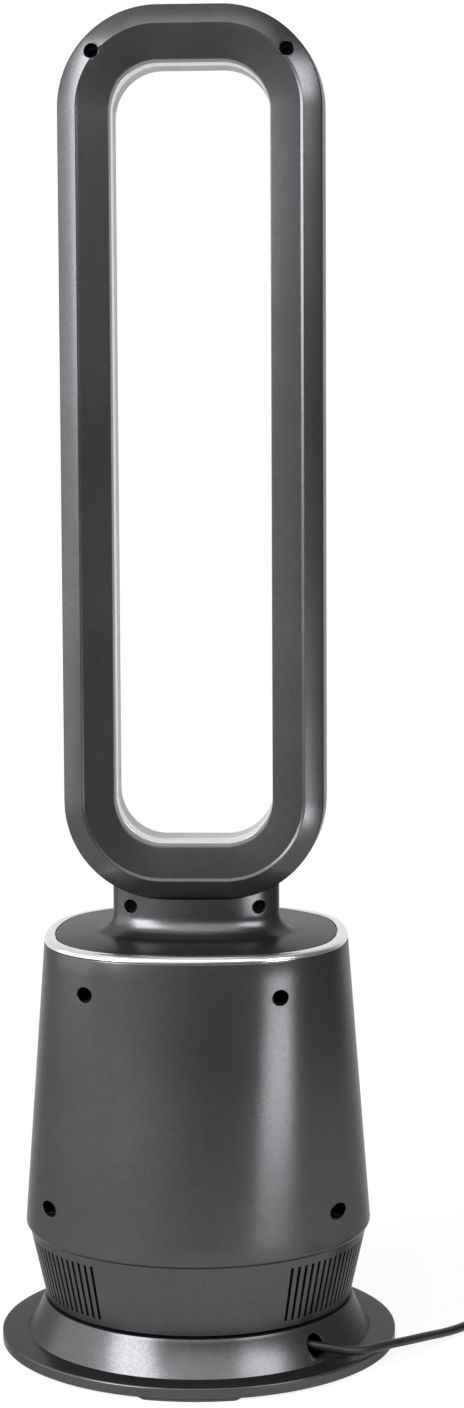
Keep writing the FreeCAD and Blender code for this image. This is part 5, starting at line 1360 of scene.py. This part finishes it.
@dataclass
class DeckAndNeck:
    """Deck inside the trim ring and the neck rising out of it, in a rear and a front half."""

    loop: AirLoop
    body: Body
    half_wide: float = 58.5
    half_deep: float = 31.0
    fullness: float = 2.2
    wall: float = 3.0
    flare: float = 14.0
    flare_steps: int = 12
    loop_gap: float = 0.2
    deck_top: float = 293.9
    deck_thick: float = 3.2
    deck_half: float = 98.7
    # The deck's rounded edge: in from its side and down from its top
    deck_edge: tuple[tuple[float, float], ...] = ((1.2, 0.0), (0.5, 0.2), (0.1, 0.6), (0.0, 1.2))
    duct: tuple[float, float, float] = (45.0, 24.0, 17.0)  # half width, half depth, corner
    duct_arc_steps: int = 20
    split_gap: float = 0.22
    recesses: tuple[tuple[float, float], ...] = ((-44.9, 313.8), (44.9, 313.8))
    recess_radius: float = 4.7
    bore: tuple[float, float] = (-60.0, -14.0)
    tube_wall: float = 1.1
    tube_start: float = -16.3
    seat: float = -10.0

    @property
    def ring_points(self) -> int:
        """Points in every ring, as many as the duct's outline has."""
        return 4 * (self.duct_arc_steps + 2)

    def neck_ring(self, grow: float, rise: float | None = None) -> Points:
        """Ring of the oval neck.

        Args:
            grow: how much larger it is on each side, in mm.
            rise: its height in mm; without one it follows the loop's underside.

        Returns:
            Points in metres.
        """
        ring = []
        for u, v in bowed(self.half_wide + grow, self.half_deep + grow, self.fullness,
                          self.ring_points):
            height = self.loop.underside(u, v) - self.loop_gap if rise is None else rise
            ring.append(Vector((u, v, height)) * MM)
        return ring

    def deck_ring(self, half: float, height: float) -> Points:
        """Ring of the deck's outline, with a point for each one of the neck.

        Args:
            half: its half width in mm.
            height: its height in mm.

        Returns:
            Points in metres.
        """
        outline = self.body.outline
        ring = []
        for u, v in bowed(self.half_wide, self.half_deep, self.fullness, self.ring_points):
            angle = math.atan2(v * self.half_wide / self.half_deep, u)
            reach = outline.reach(angle, outline.half - half)
            ring.append(Vector((reach * math.cos(angle), reach * math.sin(angle), height)) * MM)
        return ring

    def rings(self) -> list[Points]:
        """Rings from the neck's top down its outside, over the deck and back up its inside.

        Returns:
            Rings with one number of points.
        """
        rings = [self.neck_ring(0)]
        for step in range(self.flare_steps + 1):
            angle = QUARTER_TURN * step / self.flare_steps
            rise = self.deck_top + self.flare * (1 - math.sin(angle))
            rings.append(self.neck_ring(self.flare * (1 - math.cos(angle)), rise))
        under = self.deck_top - self.deck_thick
        for inset, drop in self.deck_edge:
            rings.append(self.deck_ring(self.deck_half - inset, self.deck_top - drop))
        rings.append(self.deck_ring(self.deck_half, under))
        way = oblong(*self.duct, self.duct_arc_steps)
        for height in (under, self.deck_top):
            rings.append([Vector((u, v, height)) * MM for u, v in way])
        return rings + [self.neck_ring(-self.wall, self.deck_top), self.neck_ring(-self.wall)]

    def half(self, front: bool, name: str) -> Piece:
        """Loft the whole and keep one half of it.

        Args:
            front: keep the front half.
            name: the piece's name.

        Returns:
            The half.
        """
        return made_object(halved(lofted(self.rings(), closed=True), front, self.split_gap), name)

    def build(self, shop: Workshop) -> None:
        """Make and dress both halves.

        Args:
            shop: gives each piece its finish.
        """
        rear = recessed(self.half(False, "neck_rear_half"), [
            ScrewRecess(x, z, self.recess_radius, self.bore, self.recess_radius + self.tube_wall,
                        self.tube_start, self.seat) for x, z in self.recesses])
        shop.dress(rear, GUNMETAL, "tower", "gunmetal_plastic", "neck_rear")
        shop.dress(self.half(True, "neck_front_half"), GUNMETAL, "tower", "gunmetal_plastic",
                   "neck_front")


class ScrewWay(Enum):
    """Which way a set of screws is driven, with the height of its heads in mm."""

    FORWARD = 2.4
    UPWARD = 2.6


@dataclass
class Fasteners:
    """Cross-head screws that show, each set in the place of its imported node."""

    sets: tuple[tuple[str, str, ScrewWay], ...] = (
        ("cover_screws", "tower", ScrewWay.FORWARD), ("neck_screws", "tower", ScrewWay.FORWARD),
        ("loop_screws", "tower", ScrewWay.FORWARD), ("base_plate_screws", "base", ScrewWay.UPWARD),
    )
    shank: float = 1.75
    tip_long: float = 1.5
    tip_radius: float = 0.3
    head_flat: float = 0.72  # share of the head's radius
    head_waist: float = 0.55  # share of the head's height
    head_rounds: tuple[float, float] = (0.5, 0.4)
    cross: tuple[float, float] = (1.1, 0.26)  # length and width, in head radii
    steps: int = 24

    def places(self, node: Piece) -> list[tuple[Vector, Vector]]:
        """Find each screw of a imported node.

        Args:
            node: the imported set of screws.

        Returns:
            Lowest and highest corner of each screw, in metres.
        """
        mesh = bmesh.new()
        mesh.from_mesh(node.data)
        bmesh.ops.remove_doubles(mesh, verts=mesh.verts, dist=MERGE)
        left = set(mesh.verts)
        found = []
        while left:
            reached = [left.pop()]
            for vert in reached:
                for edge in vert.link_edges:
                    other = edge.other_vert(vert)
                    if other in left:
                        left.discard(other)
                        reached.append(other)
            low = Vector([min(vert.co[k] for vert in reached) for k in range(3)])
            high = Vector([max(vert.co[k] for vert in reached) for k in range(3)])
            found.append((low, high))
        mesh.free()
        return found

    def screw(self, head: float, head_tall: float, long: float) -> Mesh:
        """Turn a pan-head screw, its shank along +Z from the origin, and cut its cross recess.

        Args:
            head: head radius in mm.
            head_tall: head height in mm.
            long: shank length in mm.

        Returns:
            The screw.
        """
        flat_round, waist_round = self.head_rounds
        mesh = turned([
            (0.0, -head_tall), (self.head_flat * head, -head_tall, flat_round),
            (head, -self.head_waist * head_tall, waist_round), (head, 0.0), (self.shank, 0.0),
            (self.shank, long - self.tip_long), (self.tip_radius, long), (0.0, long),
        ], steps=self.steps, closed=False)
        piece = made_object(mesh, "screw_blank")
        bar_long, bar_wide = (share * head * MM for share in self.cross)
        size = Matrix.Diagonal((bar_long, bar_wide, head_tall * MM, 1.0))
        for turn in (0.0, QUARTER_TURN):
            cutter = bmesh.new()
            place = Matrix.Translation((0, 0, -head_tall * MM)) @ Matrix.Rotation(turn, 4, "Z")
            bmesh.ops.create_cube(cutter, size=1.0, matrix=place @ size)
            bored(piece, cutter)
        cut = bmesh.new()
        cut.from_mesh(piece.data)
        bpy.data.objects.remove(piece)
        return cut

    def build(self, shop: Workshop, nodes: dict[str, Piece]) -> None:
        """Make and dress each set of screws.

        Args:
            shop: gives each piece its finish.
            nodes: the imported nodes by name.
        """
        for name, body, way in self.sets:
            head_tall = way.value
            mesh = bmesh.new()
            for low, high in self.places(nodes[name]):
                span = (high - low) / MM
                seat = (low + high) / 2
                if way is ScrewWay.FORWARD:
                    long, turn = span.y, Matrix.Rotation(-QUARTER_TURN, 4, "X")
                    seat.y = low.y + head_tall * MM
                else:
                    long, turn = span.z, Matrix.Identity(4)
                    seat.z = low.z + head_tall * MM
                one = self.screw(span.x / 2, head_tall, long - head_tall)
                added(mesh, placed(one, Matrix.Translation(seat) @ turn))
            shop.dress(made_object(mesh, name + "_cross_head"), BLACK_STEEL, body, "steel", name)


@dataclass
class MainsLead:
    """Lead out of the foot, over its rim and along the floor, its put-away coil, tie and plug."""

    radius: float = 3.1
    length: float = 1.76
    route: tuple[tuple[float, float, float], ...] = (
        (23.5, -57.8, 20.4), (56.0, -68.0, 20.4), (86.0, -79.5, 19.4), (111.5, -78.0, 14.2),
        (130.5, -61.5, 14.0), (147.5, -44.5, 11.9), (162.5, -24.5, 8.8), (177.0, -5.0, 5.2),
        (191.5, 14.0, 3.8),
    )
    last_run: float = 22.0
    # Along from the coil and up from it
    plug_lead: tuple[tuple[float, float], ...] = (
        (14.0, 0.0), (28.0, 2.6), (42.0, 6.0), (54.0, 7.9), (64.0, 8.1),
    )
    coil_x: float = 258.9
    coil_y: float = 24.2
    coil_outer: float = 46.4
    coil_step: float = 6.9
    coil_low: float = 4.2
    coil_start: float = 140.0
    coil_end: float = -20.0
    coil_turns: int = 6
    turn_points: int = 16
    tie_angle: float = 60.0
    tie_wide: float = 9.0
    tie_gap: float = 0.3
    tie_band: float = 0.7
    tie_corner: float = 1.2
    tie_arc_steps: int = 6
    boot_start: float = 0.1
    boot_long: float = 26.0
    boot_radius: float = 4.4
    boot_flare: float = 3.1
    rib_count: int = 6
    rib_start: float = 2.0
    rib_pitch: float = 3.6
    # One rib and its groove: in from the boot's side and along from the rib's start
    rib_line: tuple[tuple[float, float], ...] = ((0.0, 0.0), (0.0, 2.2), (0.9, 2.5), (0.7, 3.4))
    plug_long: float = 36.0
    plug_radius: float = 18.5
    plug_face: float = 13.0
    plug_shoulder: float = 6.0
    plug_rounds: tuple[float, float, float] = (1.0, 3.0, 1.0)  # face, shoulder, pin side
    grip_count: int = 5
    grip_start: float = 10.0
    grip_pitch: float = 3.2
    grip_line: tuple[tuple[float, float], ...] = ((0.0, 0.0), (0.7, 0.5), (0.7, 1.5), (0.0, 2.0))
    plug_steps: int = 72
    pin_radius: float = 2.4
    pin_long: float = 19.0
    pin_spacing: float = 19.0
    pin_round: float = 1.6
    pin_steps: int = 32

    def whole_turn(self) -> float:
        """Angle that the coil goes round in all."""
        return math.radians(self.coil_start - self.coil_end + 360 * self.coil_turns)

    def coil_spot(self, angle: float) -> tuple[Vector, Vector]:
        """Point and heading of the coil: a spiral in, a climb over half a turn, a spiral out.

        Args:
            angle: angle gone round from its start.

        Returns:
            Point in mm and unit heading.
        """
        middle = self.whole_turn() / 2
        away = abs(angle - middle)
        slope = self.coil_step / FULL_TURN
        radius = self.coil_outer - self.coil_step * (middle - away) / FULL_TURN
        inwards = math.copysign(slope, angle - middle) if away else 0.0
        climb = min(max(angle - middle + QUARTER_TURN, 0.0), math.pi)
        height = self.coil_low + self.coil_step * (1 - math.cos(climb)) / 2
        at = math.radians(self.coil_start) - angle
        out = Vector((math.cos(at), math.sin(at), 0))
        around = Vector((math.sin(at), -math.cos(at), 0))
        rise = Vector((0, 0, self.coil_step * math.sin(climb) / 2))
        heading = out * inwards + around * radius + rise
        return Vector((self.coil_x, self.coil_y, height)) + out * radius, heading.normalized()

    def plug_line(self) -> tuple[Points, Vector]:
        """Run of the lead from the coil to the plug.

        Returns:
            Points in mm, of which the plug's boot starts at the last, and the level heading.
        """
        last, heading = self.coil_spot(self.whole_turn())
        flat = Vector((heading.x, heading.y, 0)).normalized()
        leave = last + heading * 2 * self.radius
        spots = [leave + flat * along + Vector((0, 0, rise)) for along, rise in self.plug_lead]
        return [leave, *spots], flat

    def points(self) -> Points:
        """Control points of the whole lead, from the clamp to the plug.

        Returns:
            Points in mm.
        """
        first, heading = self.coil_spot(0.0)
        start = first - heading * 2 * self.radius
        steps = round(self.turn_points * self.whole_turn() / FULL_TURN)
        coil = [self.coil_spot(self.whole_turn() * k / steps)[0] for k in range(steps + 1)]
        route = [Vector(spot) for spot in self.route]
        return route + [start - heading * self.last_run, start] + coil + self.plug_line()[0]

    def lead(self) -> Piece:
        """Lay the lead as one smooth curve.

        Returns:
            The curve object.
        """
        curve = bpy.data.curves.new("mains_lead", "CURVE")
        curve.dimensions = "3D"
        spline = curve.splines.new("NURBS")
        points = self.points()
        spline.points.add(len(points) - 1)
        for spot, point in zip(spline.points, points):
            spot.co = (*(point * MM), 1.0)
        spline.order_u = 3
        spline.use_endpoint_u = True
        spline.resolution_u = 6
        curve.bevel_depth = self.radius * MM
        curve.bevel_resolution = 5
        curve.use_fill_caps = True
        piece = bpy.data.objects.new("mains_lead", curve)
        bpy.context.scene.collection.objects.link(piece)
        return piece

    def plug_matrix(self) -> Matrix:
        """Place that turns +Z to the plug's heading, with its pins level.

        Returns:
            The place of the boot's start.
        """
        spots, heading = self.plug_line()
        up = Vector((0, 0, 1))
        turn = Matrix((up.cross(heading), up, heading)).transposed().to_4x4()
        return Matrix.Translation(spots[-1] * MM) @ turn

    def plug(self) -> Piece:
        """Turn the plug's ribbed boot and rounded body.

        Returns:
            The plug's body.
        """
        boot, wide = self.boot_long, self.plug_radius
        end = boot + self.plug_long
        face_round, shoulder_round, end_round = self.plug_rounds
        ribs: list[Corner] = []
        for k in range(self.rib_count):
            low = self.rib_start + self.rib_pitch * k
            radius = self.boot_radius + self.boot_flare * low / boot
            ribs += [(radius - inset, low + along) for inset, along in self.rib_line]
        grips: list[Corner] = []
        for k in range(self.grip_count):
            low = boot + self.grip_start + self.grip_pitch * k
            grips += [(wide - inset, low + along) for inset, along in self.grip_line]
        mesh = turned([
            (0.0, self.boot_start), (self.boot_radius, self.boot_start), *ribs,
            (self.boot_radius + self.boot_flare, boot), (self.plug_face, boot, face_round),
            (wide, boot + self.plug_shoulder, shoulder_round), *grips, (wide, end, end_round),
            (0.0, end),
        ], steps=self.plug_steps, closed=False)
        return made_object(placed(mesh, self.plug_matrix()), "plug_and_boot")

    def pins(self) -> Piece:
        """Turn two round-tipped pins.

        Returns:
            Both pins as one piece.
        """
        base = self.boot_long + self.plug_long
        tip = base + self.pin_long
        mesh = bmesh.new()
        for side in (-1, 1):
            pin = turned([(0.0, base), (self.pin_radius, base),
                          (self.pin_radius, tip, self.pin_round), (0.0, tip)],
                         steps=self.pin_steps, closed=False)
            aside = Matrix.Translation((side * self.pin_spacing / 2 * MM, 0, 0))
            added(mesh, placed(pin, aside))
        return made_object(placed(mesh, self.plug_matrix()), "plug_contact_pins")

    def tie(self) -> Piece:
        """Bend a flat band round both layers of the coil.

        Returns:
            The tie.
        """
        clear = self.radius + self.tie_gap
        inner = self.coil_spot(self.whole_turn() / 2)[0] - Vector((self.coil_x, self.coil_y, 0))
        # How far a straight band cuts into the coil's inmost turn
        inmost = 3 * self.coil_step
        near = inner.xy.length - clear - self.tie_wide ** 2 / (8 * inmost)
        far = self.coil_outer + clear
        low = self.coil_low - clear
        high = self.coil_low + self.coil_step + clear
        half_u, half_v = (far - near) / 2, (high - low) / 2
        rings = []
        for grow, side in ((0, -1), (0, 1), (self.tie_band, 1), (self.tie_band, -1)):
            line = oblong(half_u + grow, half_v + grow, self.tie_corner + grow, self.tie_arc_steps)
            edge = side * self.tie_wide / 2
            rings.append([Vector(((near + far) / 2 + u, edge, (low + high) / 2 + v)) * MM
                          for u, v in line])
        place = Matrix.Translation(Vector((self.coil_x, self.coil_y, 0)) * MM)
        turn = Matrix.Rotation(math.radians(self.tie_angle), 4, "Z")
        return made_object(placed(lofted(rings, closed=True), place @ turn), "coil_tie_band")

    def build(self, shop: Workshop) -> None:
        """Args:
            shop: gives each piece its finish.
        """
        lead = shop.dress(self.lead(), JACKET, "base", "lead_jacket",
                          "power_cord", "cord_coil", "plug_lead")
        plug = shop.dress(self.plug(), BLACK, "base", "black_plastic", "plug_body")
        pins = shop.dress(self.pins(), PIN_METAL, "base", "pin_metal", "plug_pins")
        tie = shop.dress(self.tie(), RUBBER, "base", "rubber", "cord_tie")


@dataclass
class InnerWorks:
    """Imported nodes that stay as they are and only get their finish."""

    finishes: tuple[tuple[Finish, tuple[str, ...]], ...] = (
        (BLACK, ("base_plate", "tilt_switch", "cord_clamp", "inlet_bellmouth", "fan_housing",
                 "diffuser", "board_parts", "impeller")),
        (STEEL, ("swing_motor", "swing_motor_screws", "cord_clamp_screws", "gear_screws",
                 "housing_screws", "fan_motor", "motor_bearings", "swing_shaft", "motor_shaft",
                 "impeller_nut")),
        (ACETAL, ("slide_ring", "swivel_gear", "swing_pinion")),
        (RUBBER, ("cord_strain_relief", "motor_dampers", "neck_gasket")),
        (NYLON, ("air_duct", "heater_frame", "thermal_cutout")),
        (ALUMINIUM, ("ptc_bars", "heater_fins")),
        (BOARD, ("power_board", "control_board")),
    )

    def build(self, shop: Workshop, nodes: dict[str, Piece]) -> None:
        """Put each node's finish in its material slot.

        Args:
            shop: makes the finishes.
            nodes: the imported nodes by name.
        """
        for finish, names in self.finishes:
            for name in names:
                nodes[name].data.materials.clear()
                nodes[name].data.materials.append(shop.material(finish))
                log.info("%s keeps its solid", name)


@dataclass(frozen=True)
class Lamp:
    """One soft rectangular lamp, its place, aim and size in metres, its power in watts."""

    name: str
    place: tuple[float, float, float]
    aim: tuple[float, float, float]
    size: tuple[float, float]
    power: float

    def hang(self) -> None:
        """Hang the lamp, out of the camera's sight."""
        data = bpy.data.lights.new(self.name, "AREA")
        data.shape = "RECTANGLE"
        data.size, data.size_y = self.size
        data.energy = self.power
        piece = bpy.data.objects.new(self.name, data)
        piece.location = self.place
        way = Vector(self.aim) - Vector(self.place)
        piece.rotation_euler = way.to_track_quat("-Z", "Y").to_euler()
        piece.visible_camera = False
        bpy.context.scene.collection.objects.link(piece)


@dataclass
class Studio:
    """White floor and surround, soft lamps, and the camera at the photograph's place."""

    distance: float = 1964.5
    height: float = 654.9
    pitch: float = 5.514
    azimuth: float = 2.8
    roll: float = -0.36
    focal_px: float = 2819.0
    frame_px: tuple[float, float] = (464.0, 1408.0)
    axis_px: tuple[float, float] = (195.0, 687.7)
    sensor: float = 36.0
    clip_end: float = 50.0
    # The floor in metres: its size, and how white it shows from the heater outwards
    floor_radius: float = 1.1
    floor_steps: int = 96
    floor_roughness: float = 0.9
    white_near: float = 0.86
    white_from: float = 0.35
    white_all: float = 1.0
    # The surround: its light on the heater, and how dark it mirrors on one side
    fill_level: float = 0.4
    room_level: float = 0.2
    dim_side: tuple[float, float, float] = (0.9, -0.44, 0.0)
    dim_span: tuple[float, float] = (-0.1, 0.5)
    lamps: tuple[Lamp, ...] = (
        Lamp("left_softbox", (-1.61, -1.47, 1.56), (0, 0, 0.3), (1.3, 1.96), 98.0),
        Lamp("left_bounce", (-1.5, 0.0, 0.62), (0, 0, 0.25), (1.4, 1.1), 6.5),
        Lamp("right_strip", (1.5, -1.22, -0.26), (0, 0, 0.1), (0.85, 0.64), 20.0),
        Lamp("right_kicker", (1.53, -1.26, 1.6), (0, 0, 0.1), (1.2, 0.9), 31.0),
        Lamp("overhead_panel", (0.1, -1.5, 1.95), (0, 0, 0.3), (1.6, 1.9), 22.0),
    )

    def camera(self) -> None:
        """Set the camera where the photograph was taken from."""
        wide, tall = self.frame_px
        data = bpy.data.cameras.new("portrait")
        data.sensor_width = self.sensor
        data.lens = self.focal_px * self.sensor / tall
        data.shift_x = (wide / 2 - self.axis_px[0]) / tall
        data.shift_y = (self.axis_px[1] - tall / 2) / tall
        data.clip_end = self.clip_end
        piece = bpy.data.objects.new("portrait", data)
        turn = math.radians(self.azimuth)
        piece.location = Vector((math.sin(turn) * self.distance,
                                 -math.cos(turn) * self.distance, self.height)) * MM
        tip = Matrix.Rotation(QUARTER_TURN - math.radians(self.pitch), 3, "X")
        roll = Matrix.Rotation(math.radians(self.roll), 3, "Z")
        piece.rotation_euler = (Matrix.Rotation(turn, 3, "Z") @ tip @ roll).to_euler()
        bpy.context.scene.collection.objects.link(piece)
        bpy.context.scene.camera = piece

    def floor(self) -> None:
        """Lay a pale floor that shows nearly white, keeps a soft shadow and fades outwards."""
        mesh = bmesh.new()
        bmesh.ops.create_circle(mesh, cap_ends=True, segments=self.floor_steps,
                                radius=self.floor_radius)
        piece = made_object(mesh, "studio_floor")
        # Matt white vinyl: even, with no shine
        material = bpy.data.materials.new("pale_studio_floor")
        material.use_nodes = True
        tree = material.node_tree
        shader = tree.nodes["Principled BSDF"]
        shader.inputs["Base Color"].default_value = srgb("#f2f2f2")
        shader.inputs["Roughness"].default_value = self.floor_roughness
        seen = self.seen_ray(tree, add_node(tree, "ShaderNodeLightPath"))
        place = add_node(tree, "ShaderNodeTexCoord").outputs["Object"]
        away = add_node(tree, "ShaderNodeVectorMath", {"operation": "LENGTH"}, {0: place})
        white = add_node(tree, "ShaderNodeMapRange",
                         {"From Min": self.white_from, "From Max": self.white_all,
                          "To Min": self.white_near}, {"Value": away.outputs["Value"]})
        share = add_node(tree, "ShaderNodeMath", {"operation": "MULTIPLY"},
                         {0: seen, 1: white.outputs[0]})
        glow = add_node(tree, "ShaderNodeEmission", {"Color": (1, 1, 1, 1), "Strength": 1.0})
        mix = add_node(tree, "ShaderNodeMixShader", None,
                       {0: share.outputs[0], 1: shader.outputs[0], 2: glow.outputs[0]})
        tree.links.new(mix.outputs[0], tree.nodes["Material Output"].inputs["Surface"])
        piece.data.materials.append(material)

    @staticmethod
    def seen_ray(tree: bpy.types.NodeTree, path: bpy.types.Node) -> bpy.types.NodeSocket:
        """Tell rays that show the surround to the eye, straight or by reflection.

        Args:
            tree: the node tree.
            path: its light path node.

        Returns:
            One for camera, glossy and transmission rays.
        """
        seen = path.outputs["Is Camera Ray"]
        for kind in ("Is Glossy Ray", "Is Transmission Ray"):
            seen = add_node(tree, "ShaderNodeMath", {"operation": "MAXIMUM"},
                            {0: seen, 1: path.outputs[kind]}).outputs[0]
        return seen

    def world(self) -> None:
        """Surround that shows white and lights at a plain level."""
        world = bpy.data.worlds.new("white_studio")
        bpy.context.scene.world = world
        world.use_nodes = True
        tree = world.node_tree
        tree.nodes.clear()
        path = add_node(tree, "ShaderNodeLightPath")
        heading = add_node(tree, "ShaderNodeTexCoord").outputs["Generated"]
        towards = add_node(tree, "ShaderNodeVectorMath",
                           {"operation": "DOT_PRODUCT", 1: self.dim_side}, {0: heading})
        room = add_node(tree, "ShaderNodeMapRange",
                        {"From Min": self.dim_span[0], "From Max": self.dim_span[1],
                         "To Min": 1.0, "To Max": self.room_level},
                        {"Value": towards.outputs["Value"]})
        shown = add_node(tree, "ShaderNodeMath", {"operation": "MAXIMUM"},
                         {0: path.outputs["Is Camera Ray"], 1: room.outputs[0]})
        strength = add_node(tree, "ShaderNodeMix",
                            {"data_type": "FLOAT", NUMBER_A: self.fill_level},
                            {0: self.seen_ray(tree, path), NUMBER_B: shown.outputs[0]})
        back = add_node(tree, "ShaderNodeBackground", {"Color": (1, 1, 1, 1)},
                        {"Strength": strength.outputs[0]})
        add_node(tree, "ShaderNodeOutputWorld", None, {"Surface": back.outputs[0]})

    def build(self) -> None:
        """Set up the whole studio."""
        bpy.context.scene.view_settings.view_transform = "Standard"
        self.camera()
        self.floor()
        self.world()
        for lamp in self.lamps:
            lamp.hang()


def main() -> None:
    """Build the heater's pieces in order and light them."""
    logging.basicConfig(level=logging.INFO, format="%(name)s: %(message)s")
    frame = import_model()
    shop = Workshop()
    Studio().build()
    MainsLead().build(shop)
    Foot().build(shop)
    IntakeRing().build(shop)
    body = Body()
    body.build(shop)
    loop = AirLoop()
    loop.build(shop)
    DeckAndNeck(loop, body).build(shop)
    Fasteners().build(shop, frame["nodes"])
    InnerWorks().build(shop, frame["nodes"])


if __name__ == "__main__":
    main()
